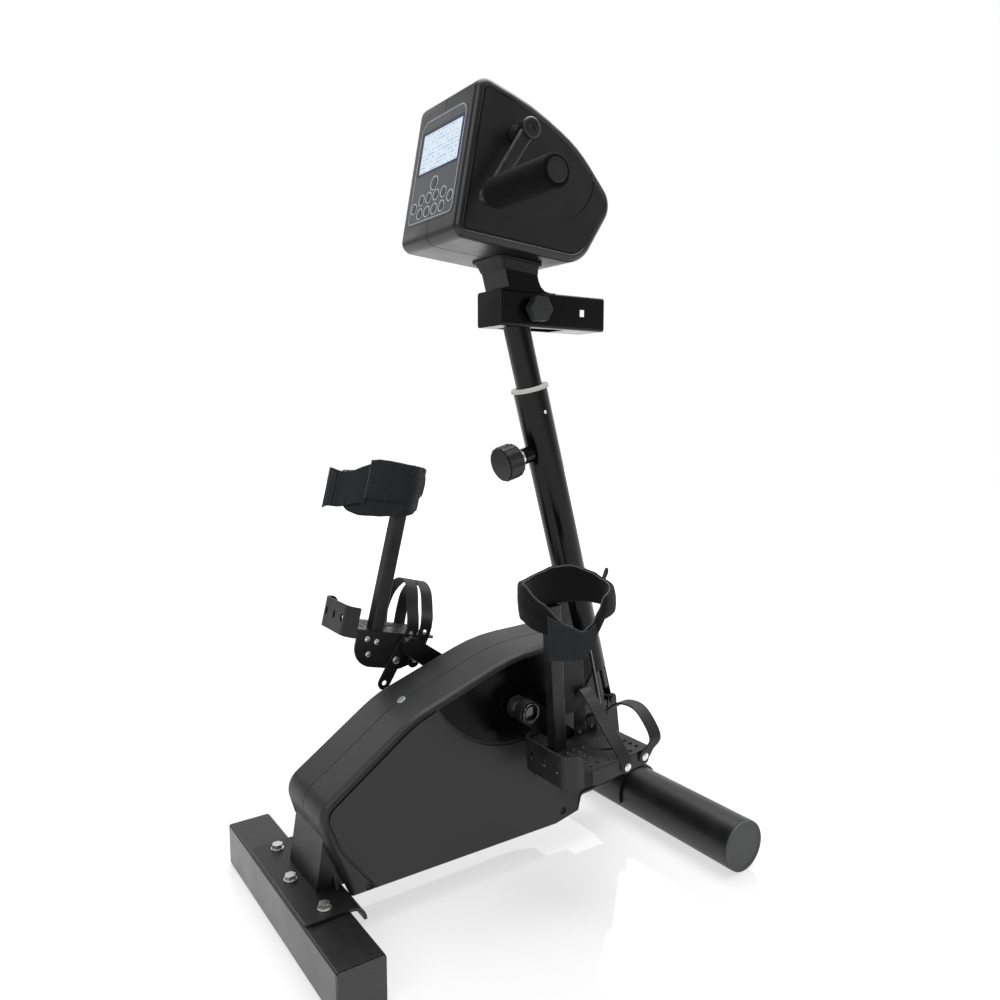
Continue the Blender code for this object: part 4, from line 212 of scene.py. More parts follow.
def extruded(name, outlines, thickness, place, at=0.0):
    # a flat solid from closed outlines, the first outside and the rest holes
    curve = bpy.data.curves.new(name, "CURVE")
    curve.dimensions = "2D"
    curve.fill_mode = "BOTH"
    curve.extrude = thickness / 2
    for outline in outlines:
        spline = curve.splines.new("POLY")
        spline.points.add(len(outline) - 1)
        for point, (a, b) in zip(spline.points, outline):
            point.co = (a, b, 0.0, 1.0)
        spline.use_cyclic_u = True
    drawn = newPiece(name, curve)
    bpy.context.view_layer.update()
    mesh = bpy.data.meshes.new_from_object(drawn.evaluated_get(bpy.context.evaluated_depsgraph_get()))
    bpy.data.objects.remove(drawn)
    mesh.transform(place @ Matrix.Translation((0, 0, at)))
    edit = bmesh.new()
    edit.from_mesh(mesh)
    bmesh.ops.remove_doubles(edit, verts=edit.verts, dist=weld)
    bmesh.ops.dissolve_limit(edit, angle_limit=math.radians(0.5), verts=edit.verts, edges=edit.edges)
    bmesh.ops.recalc_face_normals(edit, faces=edit.faces)
    edit.to_mesh(mesh)
    edit.free()
    return newPiece(name, mesh)


def combined(piece, others, operation):
    for other in others:
        cut = piece.modifiers.new("cut", "BOOLEAN")
        cut.operation = operation
        cut.object = other
    flattened(piece)
    for other in others:
        bpy.data.objects.remove(other)
    return piece


def joined(piece, others):
    # one object from several, without welding them
    edit = bmesh.new()
    for other in [piece] + list(others):
        edit.from_mesh(other.data)
    edit.to_mesh(piece.data)
    edit.free()
    for other in others:
        bpy.data.objects.remove(other)
    return piece


def mirroredCopy(piece, name):
    mesh = piece.data.copy()
    mesh.transform(mirrored(-1))
    mesh.flip_normals()
    return newPiece(name, mesh)


def softEdges(piece, width, segments=2, angle=34):
    # small rounded edges that catch the light, and smooth shading between them
    piece.data.shade_smooth()
    bevel = piece.modifiers.new("softEdges", "BEVEL")
    bevel.width = width
    bevel.segments = segments
    bevel.limit_method = "ANGLE"
    bevel.angle_limit = math.radians(angle)
    bevel.harden_normals = True
    bevel.miter_outer = "MITER_ARC"
    return piece


def smoothShaded(piece, angle=34):
    piece.data.shade_smooth()
    piece.data.set_sharp_from_angle(angle=math.radians(angle))
    return piece


def dressed(piece, finish, body, nodes=()):
    # its finish, the body that it rides on and the solids that it stands for
    piece.data.materials.clear()
    piece.data.materials.append(bpy.data.materials[finish])
    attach(piece, body)
    if nodes:
        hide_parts(*nodes)
    return piece


# Nodes of the materials

def linear(code):
    # an sRGB hex value as the linear colour that a shader takes
    parts = [int(code[i:i + 2], 16) / 255 for i in (1, 3, 5)]
    return tuple(p / 12.92 if p <= 0.04045 else ((p + 0.055) / 1.055) ** 2.4 for p in parts) + (1.0,)


def addNode(tree, kind, settings=None, links=None):
    # one node with its settings, by attribute or socket, and its links
    node = tree.nodes.new(kind)
    for name, value in (settings or {}).items():
        if isinstance(name, str) and hasattr(node, name):
            setattr(node, name, value)
        else:
            node.inputs[name].default_value = value
    for name, source in (links or {}).items():
        tree.links.new(source, node.inputs[name])
    return node


def perMetre(millimetres):
    # a pattern's scale from its size in millimetres
    return 1000 / millimetres


finishDefaults = {
    "bump": 0.5, "metallic": 0.0, "coat": 0.0, "coatRough": 0.1, "sheen": 0.0, "ior": 1.5,
    "speck": 0.08,                # how far a grain changes the gloss
    "patches": (0.35, 0.68),      # the clouds' range over which the colour turns to its shade
    "glossRange": (0.3, 0.7),     # and over which the roughness goes from least to most
}
shaderSockets = {"Metallic": "metallic", "Coat Weight": "coat", "Coat Roughness": "coatRough",
                 "Sheen Weight": "sheen"}


def newMaterial(name):
    material = bpy.data.materials.new(name)
    material.use_nodes = True
    return material.node_tree, material.node_tree.nodes["Principled BSDF"]


def surface(name, given):
    # a finish with cloudy colour, uneven gloss and a fine grain
    look = {**finishDefaults, **given}
    tree, shader = newMaterial(name)
    place = addNode(tree, "ShaderNodeTexCoord").outputs["Object"]
    cloud = addNode(tree, "ShaderNodeTexNoise", {"Scale": perMetre(look["cloud"]), "Detail": 5.0,
                                                 "Roughness": 0.62}, {"Vector": place}).outputs["Fac"]
    grain = addNode(tree, "ShaderNodeTexNoise", {"Scale": perMetre(look["grain"]), "Detail": 2.0,
                                                 "Roughness": 0.5}, {"Vector": place}).outputs["Fac"]
    low, high = look["patches"]
    patch = addNode(tree, "ShaderNodeMapRange", {"From Min": low, "From Max": high}, {"Value": cloud})
    colour = addNode(tree, "ShaderNodeMix", {"data_type": "RGBA", 6: linear(look["colour"]),
                                             7: linear(look["shade"])}, {0: patch.outputs["Result"]})
    low, high = look["glossRange"]
    smooth, dull = look["rough"]
    gloss = addNode(tree, "ShaderNodeMapRange", {"From Min": low, "From Max": high, "To Min": smooth,
                                                 "To Max": dull}, {"Value": cloud})
    speck = addNode(tree, "ShaderNodeMath", {"operation": "MULTIPLY_ADD", 1: look["speck"]},
                    {0: grain, 2: gloss.outputs["Result"]})
    bump = addNode(tree, "ShaderNodeBump", {"Strength": look["bump"], "Distance": look["depth"]},
                   {"Height": grain})
    tree.links.new(colour.outputs[2], shader.inputs["Base Color"])
    tree.links.new(speck.outputs["Value"], shader.inputs["Roughness"])
    tree.links.new(bump.outputs["Normal"], shader.inputs["Normal"])
    for socket, value in shaderSockets.items():
        shader.inputs[socket].default_value = look[value]
    if not look["metallic"]:
        shader.inputs["IOR"].default_value = look["ior"]
    return tree, shader


# Finishes: cloud and grain are the sizes of their patterns in millimetres, depth is the grain's in metres

finishes = {
    # Powder coat, baked on: a black semi-gloss skin, whose slight orange peel of 2 to 3 mm
    # breaks up reflections
    "framePowderCoat": {"colour": "#141415", "shade": "#1b1b1d", "rough": (0.30, 0.42), "cloud": 60,
        "grain": 2.4, "depth": 0.00010, "bump": 0.35},
    # The same coat on the front foot and its caps, polished by shoes: it mirrors the pale floor
    # a shade lighter than the frame's coat: painted light for the floor's bright reflection
    "footCoatPaintedLight": {"colour": "#1b1b1c", "shade": "#232324", "rough": (0.20, 0.30), "cloud": 60,
        "grain": 2.4, "depth": 0.00008, "bump": 0.3, "ior": 1.62},
    # Gloss enamel on the drawn tubes of the post: near black, with clear narrow reflections along the tube
    "postGlossEnamel": {"colour": "#070708", "shade": "#0c0c0d", "rough": (0.13, 0.22), "cloud": 45,
        "grain": 3.2, "depth": 0.00008, "bump": 0.25, "ior": 1.33},
    # Powder coat on pressed pedal steel, handled and stepped on: duller, a little grey where it is rubbed
    "pedalPowderCoat": {"colour": "#121213", "shade": "#1f1f21", "rough": (0.30, 0.50), "cloud": 24,
        "grain": 1.6, "depth": 0.00010, "bump": 0.4},
    # Rims of the punched holes in pale, partly metallic steel: a painted highlight for the glints on their
    # raised edges
    "dimpleRimHighlight": {"colour": "#6e7072", "shade": "#2a2b2d", "rough": (0.22, 0.40), "cloud": 9,
        "grain": 1.1, "depth": 0.00008, "metallic": 0.6},
    # Moulded ABS with a spark-eroded skin: dark grey-black, with a soft broad sheen; its grain of
    # about 0.5 mm is drawn at 0.9 mm, so that it shows
    "fairingMouldedAbs": {"colour": "#202120", "shade": "#262726", "rough": (0.36, 0.46), "cloud": 90,
        "grain": 0.9, "depth": 0.00006, "bump": 0.5},
    # Near-black glossy sheet in the sunk sweep round the crank: painted shade of the recess, with little
    # sheen
    "sweepPaintedShade": {"colour": "#060607", "shade": "#0a0a0b", "rough": (0.16, 0.24), "cloud": 60,
        "grain": 1.2, "depth": 0.00003, "bump": 0.3, "ior": 1.22},
    # Moulded ABS of the head's case, from a finer tool: blacker and glossier than the fairing
    "headMouldedAbs": {"colour": "#151516", "shade": "#1a1a1b", "rough": (0.27, 0.36), "cloud": 70,
        "grain": 0.9, "depth": 0.00004, "bump": 0.4},
    # Bright zinc plate on bolts and nuts: silver with fine turning marks
    "boltZincPlate": {"colour": "#f0efec", "shade": "#dcdcd9", "rough": (0.22, 0.38), "cloud": 7,
        "grain": 0.6, "depth": 0.00003, "metallic": 1.0},
    # Ground axle steel: plain grey metal with fine marks round it
    "axleGroundSteel": {"colour": "#8f8f90", "shade": "#7b7b7c", "rough": (0.28, 0.38), "cloud": 14,
        "grain": 0.5, "depth": 0.00002, "metallic": 1.0},
    # Moulded nylon of the bushing: milky white, slightly soft to light, with a waxy sheen
    "bushingMouldedNylon": {"colour": "#f7f7f5", "shade": "#eeeeeb", "rough": (0.38, 0.5), "cloud": 15,
        "grain": 1.0, "depth": 0.00004},
    # Moulded polypropylene of the rear tube's caps: a worn dark grey, scuffed by the floor
    "rearCapPolypropylene": {"colour": "#4c4e4d", "shade": "#5a5c5b", "rough": (0.42, 0.6), "cloud": 12,
        "grain": 0.8, "depth": 0.00010},
    # Moulded nylon of the star knob: a paler, dusty grey-black
    "starKnobNylon": {"colour": "#2c2e2d", "shade": "#363837", "rough": (0.42, 0.55), "cloud": 8,
        "grain": 0.8, "depth": 0.00006},
    # Polished nylon cap over each end of the crank's axle: bright black, with a sharp glint
    "capGlossNylon": {"colour": "#0a0a0b", "shade": "#0f0f10", "rough": (0.08, 0.14), "cloud": 6,
        "grain": 1.2, "depth": 0.00002, "coat": 0.8, "ior": 1.6},
    # Moulded nylon of the pull pin's knob, the crank's pulley and the cuff's loop: black, with a matt tooth
    "knobMouldedNylon": {"colour": "#131314", "shade": "#1a1a1b", "rough": (0.35, 0.48), "cloud": 10,
        "grain": 0.8, "depth": 0.00006},
    # Moulded thermoplastic rubber of the straps: soft black with a dull, slightly dusty skin
    "strapMouldedRubber": {"colour": "#141414", "shade": "#1d1d1d", "rough": (0.40, 0.58), "cloud": 12,
        "grain": 0.8, "depth": 0.00008},
    # Moulded rubber of the boot round the neck and of the belt: dull black
    "bootMouldedRubber": {"colour": "#0b0b0c", "shade": "#131314", "rough": (0.42, 0.58), "cloud": 10,
        "grain": 1.0, "depth": 0.00008, "ior": 1.36},
    # Black enamel on the cast aluminium hand cranks: a slightly rippled skin
    "handCrankEnamel": {"colour": "#131314", "shade": "#1d1d1e", "rough": (0.28, 0.42), "cloud": 12,
        "grain": 1.6, "depth": 0.00012},
    # Pressed steel case of the motors, zinc plated: duller than the bolts
    "motorCaseZinc": {"colour": "#a5a5a2", "shade": "#8e8e8a", "rough": (0.35, 0.5), "cloud": 20,
        "grain": 0.8, "depth": 0.00003, "metallic": 1.0},
    # Glass-fibre circuit board under glossy green lacquer
    "boardGreenLacquer": {"colour": "#14492a", "shade": "#1a5a33", "rough": (0.25, 0.4), "cloud": 8,
        "grain": 0.8, "depth": 0.00003},
    # Printed polycarbonate film of the console: slate grey, very finely matt, in one even sheet
    "consolePrintedFilm": {"colour": "#4a4d54", "shade": "#50535a", "rough": (0.36, 0.44), "cloud": 80,
        "grain": 0.5, "depth": 0.00002},
    # Screws deep in the cover's sides, near black as painted shade, so that they read as dark holes
    "screwHoleShade": {"colour": "#060607", "shade": "#0b0b0c", "rough": (0.42, 0.55), "cloud": 4,
        "grain": 0.5, "depth": 0.00003},
    # Brushed aluminium disc let into the cover's seam: pale, with a soft sheen
    "plugSatinAluminium": {"colour": "#b4b8bc", "shade": "#a2a6aa", "rough": (0.32, 0.42), "cloud": 5,
        "grain": 0.4, "depth": 0.00002, "metallic": 1.0},
    # Screen-printed ink of the console's rings and border: a pale line, matt and slightly raised
    "printedPaleInk": {"colour": "#e2e4e8", "shade": "#d4d6dc", "rough": (0.45, 0.55), "cloud": 6,
        "grain": 0.4, "depth": 0.00001},
    # Screen-printed ink of the frame round the screen: navy, matt
    "printedNavyInk": {"colour": "#1b2440", "shade": "#202a49", "rough": (0.4, 0.5), "cloud": 6,
        "grain": 0.4, "depth": 0.00001},
    # Moulded rubber button domes under the same slate film
    "consoleButtonRubber": {"colour": "#43464c", "shade": "#494c52", "rough": (0.38, 0.48), "cloud": 8,
        "grain": 0.5, "depth": 0.00002},
    # Brushed loop lining of the padded cuffs: black, very matt, with a short nap that greys at the rim
    "cuffPaddedLining": {"colour": "#0d0d0f", "shade": "#161618", "rough": (0.8, 0.95), "cloud": 9,
        "grain": 0.7, "depth": 0.00022, "bump": 0.8, "sheen": 0.12, "ior": 1.3},
    # Tape along the cuffs' edges, smoother than the lining; its grey is a painted highlight along those edges
    "cuffEdgeHighlightTape": {"colour": "#45474b", "shade": "#5c5e62", "rough": (0.6, 0.75), "cloud": 6,
        "grain": 0.6, "depth": 0.00012, "sheen": 0.15},
    # Coated lining that hangs inside the right cuff: smooth black leatherette
    "flapLeatherette": {"colour": "#0e0e10", "shade": "#151517", "rough": (0.42, 0.56), "cloud": 14,
        "grain": 1.1, "depth": 0.00010},
    # Thick nylon sewing thread: dark grey, a shade paler than the webbing
    "stitchNylonThread": {"colour": "#2b2c30", "shade": "#36373b", "rough": (0.5, 0.6), "cloud": 3,
        "grain": 0.3, "depth": 0.00004},
    # Closed-cell foam of the hand grips: black, dull, with fine open pores
    "gripFoam": {"colour": "#050506", "shade": "#0b0b0c", "rough": (0.78, 0.92), "cloud": 10,
        "grain": 0.55, "depth": 0.00022, "bump": 0.8, "ior": 1.25},
    # Moulded disc at the end of each grip: black, smoother than the foam
    "gripEndRubber": {"colour": "#161617", "shade": "#1d1d1e", "rough": (0.45, 0.6), "cloud": 8,
        "grain": 0.6, "depth": 0.00006},
}
for name, look in finishes.items():
    surface(name, look)


def wovenCloth(name, look):
    # a basket weave on the piece's cloth coordinates: threads over and under, on the clouds of a surface
    tree, shader = surface(name, look)
    place = addNode(tree, "ShaderNodeUVMap", {"uv_map": "cloth"}).outputs["UV"]
    pitch = look["pitch"]
    wave = {"Scale": look["waveScale"] * perMetre(pitch), "Distortion": look["waver"], "Detail": 1.0}
    waves = [addNode(tree, "ShaderNodeTexWave", {"bands_direction": way, **wave}, {"Vector": place}
                     ).outputs["Fac"] for way in ("X", "Y")]
    checks = addNode(tree, "ShaderNodeTexChecker", {"Scale": perMetre(pitch)}, {"Vector": place})
    weave = addNode(tree, "ShaderNodeMix", {"data_type": "FLOAT"},
                    {0: checks.outputs["Fac"], 2: waves[0], 3: waves[1]}).outputs[0]
    # the crossings tinted grey with the thread colour: a painted glint
    ground = shader.inputs["Base Color"].links[0].from_socket
    paintedGlint = addNode(tree, "ShaderNodeMix", {"data_type": "RGBA", 7: linear(look["thread"])},
                   {0: weave, 6: ground}).outputs[2]
    tree.links.new(paintedGlint, shader.inputs["Base Color"])
    bump = addNode(tree, "ShaderNodeBump", {"Strength": look["weaveBump"], "Distance": look["weaveDepth"]},
                   {"Height": weave, "Normal": shader.inputs["Normal"].links[0].from_socket})
    tree.links.new(bump.outputs["Normal"], shader.inputs["Normal"])


# Woven nylon webbing of the cuffs: black threads, tinted grey where they cross as a painted glint; their
# pitch of 1.4 mm is drawn at 2.4 mm, so that it shows
wovenCloth("cuffWovenNylon", {"colour": "#060607", "shade": "#0c0c0e", "thread": "#3c3e42",
                              "rough": (0.62, 0.8), "cloud": 11, "grain": 0.5, "depth": 0.00006,
                              "sheen": 0.05, "ior": 1.35, "pitch": 2.4, "weaveDepth": 0.00035,
                              "weaveBump": 0.9, "waver": 0.6,
                              "waveScale": 0.314})     # gives one wave of the texture a pitch


def litScreen(name, look):
    # a lit display: pale blue ground with rows of small plain marks that say nothing
    tree, shader = newMaterial(name)
    place = addNode(tree, "ShaderNodeUVMap", {"uv_map": "flat"}).outputs["UV"]
    grid = (look["columns"], look["rows"], 1)
    cells = addNode(tree, "ShaderNodeVectorMath", {"operation": "MULTIPLY", 1: grid}, {0: place}
                    ).outputs["Vector"]
    whole = addNode(tree, "ShaderNodeVectorMath", {"operation": "FLOOR"}, {0: cells}).outputs["Vector"]
    part = addNode(tree, "ShaderNodeVectorMath", {"operation": "FRACTION"}, {0: cells}).outputs["Vector"]
    chance = addNode(tree, "ShaderNodeTexWhiteNoise", {"noise_dimensions": "2D"}, {"Vector": whole})
    inside = addNode(tree, "ShaderNodeMath", {"operation": "GREATER_THAN", 1: look["share"]},
                     {0: chance.outputs["Value"]}).outputs[0]
    axes = addNode(tree, "ShaderNodeSeparateXYZ", {}, {"Vector": part})
    for axis, reach in look["markReach"].items():
        off = addNode(tree, "ShaderNodeMath", {"operation": "SUBTRACT", 1: 0.5}, {0: axes.outputs[axis]})
        near = addNode(tree, "ShaderNodeMath", {"operation": "ABSOLUTE"}, {0: off.outputs[0]})
        within = addNode(tree, "ShaderNodeMath", {"operation": "LESS_THAN", 1: reach}, {0: near.outputs[0]})
        inside = addNode(tree, "ShaderNodeMath", {"operation": "MULTIPLY"},
                         {0: inside, 1: within.outputs[0]}).outputs[0]
    haze = addNode(tree, "ShaderNodeTexNoise", {"Scale": look["haze"], "Detail": 2.0}, {"Vector": place}
                   ).outputs["Fac"]
    ground = addNode(tree, "ShaderNodeMix", {"data_type": "RGBA", 6: linear(look["colour"]),
                                             7: linear(look["shade"])}, {0: haze}).outputs[2]
    glow = addNode(tree, "ShaderNodeMix", {"data_type": "RGBA", 7: linear(look["mark"])},
                   {0: inside, 6: ground}).outputs[2]
    smooth, dull = look["rough"]
    smear = addNode(tree, "ShaderNodeMapRange", {"To Min": smooth, "To Max": dull}, {"Value": haze})
    tree.links.new(glow, shader.inputs["Emission Color"])
    tree.links.new(smear.outputs["Result"], shader.inputs["Roughness"])
    shader.inputs["Emission Strength"].default_value = look["strength"]
    shader.inputs["Base Color"].default_value = linear(look["glass"])
    shader.inputs["Specular IOR Level"].default_value = look["mirror"]


# Backlit liquid-crystal screen behind clear glass: cool white light with faint grey-blue marks in rows
litScreen("screenLitGlass", {"colour": "#e0eefa", "shade": "#d6e6f5", "mark": "#a3b6cf",
                             "glass": "#19191c", "rough": (0.10, 0.20), "mirror": 0.12, "haze": 3.0,
                             "columns": 34, "rows": 10, "markReach": {"X": 0.36, "Y": 0.20},
                             "share": 0.55,             # of the cells, those left blank
                             "strength": 0.92})
print("materials made")


# Room

camera = {"place": (0.9654, -0.6391, 0.665), "azimuth": 55.416, "pitch": -6.44, "lens": 29.48, "sensor": 36,
          "near": 0.01}
lamps = {
    "windowSide": {"place": (1.2, -2.4, 2.4), "aim": (0, 0, 0.5), "size": 1.8, "power": 26},
    "farSide": {"place": (-2.4, -0.6, 1.8), "aim": (0, 0, 0.6), "size": 1.6, "power": 8},
    "ceiling": {"place": (-0.2, 0.5, 3.0), "aim": (0, 0, 0.3), "size": 2.4, "power": 80},
}
room = {
    # reflections see a white wall in this direction, and the room's other side at nearGlow
    "whiteWall": (-0.35, 0.94, 0.0), "wallEdge": (0.15, 0.85), "nearGlow": 0.13, "fill": 0.3,
    # the floor: how bright it looks near the machine and away from it, and between which distances
    "floorGlow": (0.62, 1.0), "glowReach": (0.9, 2.2),
    "floorColour": "#b3b3b3", "floorGloss": (0.03, 0.05), "floorIor": 2.0, "dust": 300,
    "floorReach": 6, "floorHeight": -0.0005,
}


def makeCamera():
    made = bpy.data.objects.new("camera", bpy.data.cameras.new("camera"))
    made.data.sensor_width = camera["sensor"]
    made.data.lens = camera["lens"]
    made.data.clip_start = camera["near"]
    made.location = camera["place"]
    made.rotation_euler = (math.radians(90 + camera["pitch"]), 0, math.radians(camera["azimuth"]))
    scene.collection.objects.link(made)
    scene.camera = made


def makeLamps():
    for name, lamp in lamps.items():
        light = bpy.data.lights.new(name, "AREA")
        light.energy = lamp["power"]
        light.size = lamp["size"]
        made = bpy.data.objects.new(name, light)
        made.location = lamp["place"]
        aim = Vector(lamp["aim"]) - Vector(lamp["place"])
        made.rotation_euler = aim.to_track_quat("-Z", "Y").to_euler()
        scene.collection.objects.link(made)


def makeBackground():
    # white for the camera and for glass, a white wall for reflections, and a plain fill of light for the rest
    world = bpy.data.worlds.new("paleStudio")
    world.use_nodes = True
    tree = world.node_tree
    background = tree.nodes["Background"]
    path = addNode(tree, "ShaderNodeLightPath").outputs
    seen = addNode(tree, "ShaderNodeMath", {"operation": "MAXIMUM"},
                   {0: path["Is Camera Ray"], 1: path["Is Transmission Ray"]}).outputs[0]
    towards = addNode(tree, "ShaderNodeTexCoord").outputs["Generated"]
    facing = addNode(tree, "ShaderNodeVectorMath", {"operation": "DOT_PRODUCT", 1: room["whiteWall"]},
                     {0: towards}).outputs["Value"]
    low, high = room["wallEdge"]
    wall = addNode(tree, "ShaderNodeMapRange", {"From Min": low, "From Max": high, "To Min": room["nearGlow"],
                                                "To Max": 1.0}, {"Value": facing}).outputs["Result"]
    glossy = addNode(tree, "ShaderNodeMath", {"operation": "MULTIPLY"},
                     {0: path["Is Glossy Ray"], 1: wall}).outputs[0]
    fill = addNode(tree, "ShaderNodeMath", {"operation": "MAXIMUM", 1: room["fill"]}, {0: glossy}).outputs[0]
    strength = addNode(tree, "ShaderNodeMath", {"operation": "MAXIMUM"}, {0: fill, 1: seen}).outputs[0]
    background.inputs["Color"].default_value = linear("#ffffff")
    tree.links.new(strength, background.inputs["Strength"])
    scene.world = world


def makeFloor():
    # pale paint that keeps the shadow and glows more away from the machine, so that it meets the white unseen
    tree, shader = newMaterial("paleFloorPaint")
    place = addNode(tree, "ShaderNodeTexCoord").outputs["Object"]
    dust = addNode(tree, "ShaderNodeTexNoise", {"Scale": perMetre(room["dust"]), "Detail": 3.0},
                   {"Vector": place}).outputs["Fac"]
    low, high = room["floorGloss"]
    gloss = addNode(tree, "ShaderNodeMapRange", {"To Min": low, "To Max": high}, {"Value": dust})
    away = addNode(tree, "ShaderNodeVectorMath", {"operation": "LENGTH"}, {0: place}).outputs["Value"]
    near, far = room["glowReach"]
    low, high = room["floorGlow"]
    glow = addNode(tree, "ShaderNodeMapRange", {"From Min": near, "From Max": far, "To Min": low,
                                                "To Max": high}, {"Value": away}).outputs["Result"]
    path = addNode(tree, "ShaderNodeLightPath").outputs
    seen = addNode(tree, "ShaderNodeMath", {"operation": "MAXIMUM"},
                   {0: path["Is Camera Ray"], 1: path["Is Glossy Ray"]}).outputs[0]
    shown = addNode(tree, "ShaderNodeMath", {"operation": "MULTIPLY"}, {0: seen, 1: glow}).outputs[0]
    tree.links.new(gloss.outputs["Result"], shader.inputs["Roughness"])
    tree.links.new(shown, shader.inputs["Emission Strength"])
    shader.inputs["Base Color"].default_value = linear(room["floorColour"])
    shader.inputs["IOR"].default_value = room["floorIor"]
    shader.inputs["Emission Color"].default_value = linear("#ffffff")
    reach = room["floorReach"]
    corners = [(reach * x, reach * y, room["floorHeight"]) for x, y in ((-1, -1), (1, -1), (1, 1), (-1, 1))]
    floor = meshFrom("floor", corners, [(0, 1, 2, 3)])
    floor.data.materials.append(bpy.data.materials["paleFloorPaint"])


makeCamera()
makeLamps()
makeBackground()
makeFloor()
scene.view_settings.view_transform = "Standard"
print("room made")


# Solids that keep their shape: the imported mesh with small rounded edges

hardPieces = {
    # node: finish, the record's slot, edge radius in metres
    "main_frame": ("framePowderCoat", "frame_paint", 0.0007),
    "front_foot_tube": ("footCoatPaintedLight", "frame_paint", 0.0008),
    "front_foot_cap_left": ("footCoatPaintedLight", "cap_plastic", 0.0008),
    "front_foot_cap_right": ("footCoatPaintedLight", "cap_plastic", 0.0008),
    "front_foot_bolts": ("boltZincPlate", "zinc", 0.0004),
    "rear_foot_tube": ("framePowderCoat", "frame_paint", 0.0006),
    "rear_foot_cap_left": ("rearCapPolypropylene", "cap_plastic", 0.0005),
    "rear_foot_cap_right": ("rearCapPolypropylene", "cap_plastic", 0.0005),
    "rear_foot_bolts": ("boltZincPlate", "zinc", 0.0004),
    "inner_post": ("postGlossEnamel", "post_paint", 0.0006),
    "post_bushing": ("bushingMouldedNylon", "bushing_nylon", 0.0005),
    "head_bracket": ("postGlossEnamel", "post_paint", 0.0008),
    "star_knob": ("starKnobNylon", "knob_plastic", 0.0006),
    "pull_pin_knob": ("knobMouldedNylon", "knob_plastic", 0.0005),
    "crank_arm_left": ("framePowderCoat", "pedal_paint", 0.0010),
    "crank_arm_right": ("framePowderCoat", "pedal_paint", 0.0010),
    "heel_cup_left": ("pedalPowderCoat", "pedal_paint", 0.0006),
    "heel_cup_right": ("pedalPowderCoat", "pedal_paint", 0.0006),
    "calf_post_left": ("pedalPowderCoat", "pedal_paint", 0.0006),
    "calf_post_right": ("pedalPowderCoat", "pedal_paint", 0.0006),
    "hand_axle": ("handCrankEnamel", "pedal_paint", 0.0004),
}
plainNodes = {
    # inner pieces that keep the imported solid
    "crank_axle": "axleGroundSteel",
    "bottom_bracket": "framePowderCoat",
    "crank_pulley": "knobMouldedNylon",
    "motor_pulley": "axleGroundSteel",
    "drive_belt": "bootMouldedRubber",
    "drive_motor": "motorCaseZinc",
    "hand_motor": "motorCaseZinc",
    "console_board": "boardGreenLacquer",
}
bodyOf = {node: body for body, nodes in frame["record"]["behaviour"]["bodies"].items() for node in nodes}


def finishedCopy(node, finish, edge):
    mesh = cadNodes[node].data.copy()
    edit = bmesh.new()
    edit.from_mesh(mesh)
    bmesh.ops.remove_doubles(edit, verts=edit.verts, dist=packedWeld)
    bmesh.ops.dissolve_limit(edit, angle_limit=math.radians(1), verts=edit.verts, edges=edit.edges)
    edit.to_mesh(mesh)
    edit.free()
    piece = newPiece(node + "_finished", mesh)
    softEdges(piece, edge)
    flattened(piece)
    smoothShaded(piece, 50)
    piece.modifiers.new("flatFaces", "WEIGHTED_NORMAL").keep_sharp = True
    return dressed(piece, finish, bodyOf[node], [node])


for node, (finish, slot, edge) in hardPieces.items():
    finishedCopy(node, finish, edge)
for node, finish in plainNodes.items():
    cadNodes[node].data.materials.clear()
    cadNodes[node].data.materials.append(bpy.data.materials[finish])
print("hard pieces finished")


# Moulded cases: two halves with a sunk side panel inside a grooved rim

fairing = {
    # outline from the side: y, z and corner radius, anticlockwise from the lower front corner
    "corners": [(-0.2395, 0.0475, 0.003), (0.0900, 0.0455, 0.004), (0.1335, 0.0545, 0.002),
                (0.1395, 0.0770, 0.002), (0.2055, 0.0800, 0.004), (0.1995, 0.1300, 0.010),
                (0.1505, 0.3275, 0.014), (0.0150, 0.3225, 0.250), (-0.1505, 0.2640, 0.160),
                (-0.2848, 0.1700, 0.030), (-0.2725, 0.1270, 0.003)],
    "half": 0.060, "wall": 0.0025, "edge": 0.009, "floor": 0.0551,
    "rim": 0.008, "panelDepth": 0.0012, "grooveDepth": 0.0034, "grooveWidth": 0.0022,
    "panelFoot": [(-0.1975, 0.0380, 0.004), (0.1300, 0.0380, 0.002)],
    "panelFront": [(-0.2748, 0.1660, 0.020), (-0.2560, 0.1150, 0.080)],
    # the round sweep sunk round the crank: (inwards, down) over its rim, into a groove and up to the sheet of
    # painted shade
    "sweepCentre": (0.0195, 0.349), "sweepRadius": 0.159, "sweepDepth": 0.0032, "sweepMargin": 0.0012,
    "sweepProfile": [(-0.0016, -0.0040), (0, 0.0010), (0.0004, 0.0040), (0.0026, 0.0040), (0.0040, 0.0032)],
    # the sheet of painted shade on the sweep's floor: (inwards, up) from that floor
    "dish": [(0.0044, -0.0004), (0.0044, 0.0003), (0.0050, 0.0005)], "dishMargin": 0.0030,
    "axle": (0.0099, 0.2485, 0.0097), "axleCut": (0.03, 0.08),
    "screws": [(-0.2162, 0.0564), (0.1005, 0.0648)], "screwRadius": 0.0056, "screwSunk": 0.0040,
    # a screw's profile: (radius, depth under the cover's side)
    "screw": [(0, 0.0039), (0.0050, 0.0039), (0.0050, 0.0030), (0.0042, 0.0024), (0.0016, 0.0022),
              (0.0011, 0.0032), (0, 0.0032)],
    # openings for the front saddle and for the frame's rear end
    "mouth": [(-0.330, 0.030), (-0.2230, 0.030), (-0.2230, 0.052), (-0.2500, 0.1400), (-0.2900, 0.1300)],
    "mouthHalf": 0.0472,
    "tail": [(0.130, 0.040), (0.230, 0.040), (0.230, 0.1075), (0.130, 0.1075)], "tailHalf": 0.0215,
    "plug": (-0.1373, 0.2687),
    "plugProfile": [(0, -0.0006), (0.0066, -0.0006), (0.0066, 0.0004), (0.0060, 0.0009), (0.002, 0.0012),
                    (0, 0.00125)],
}
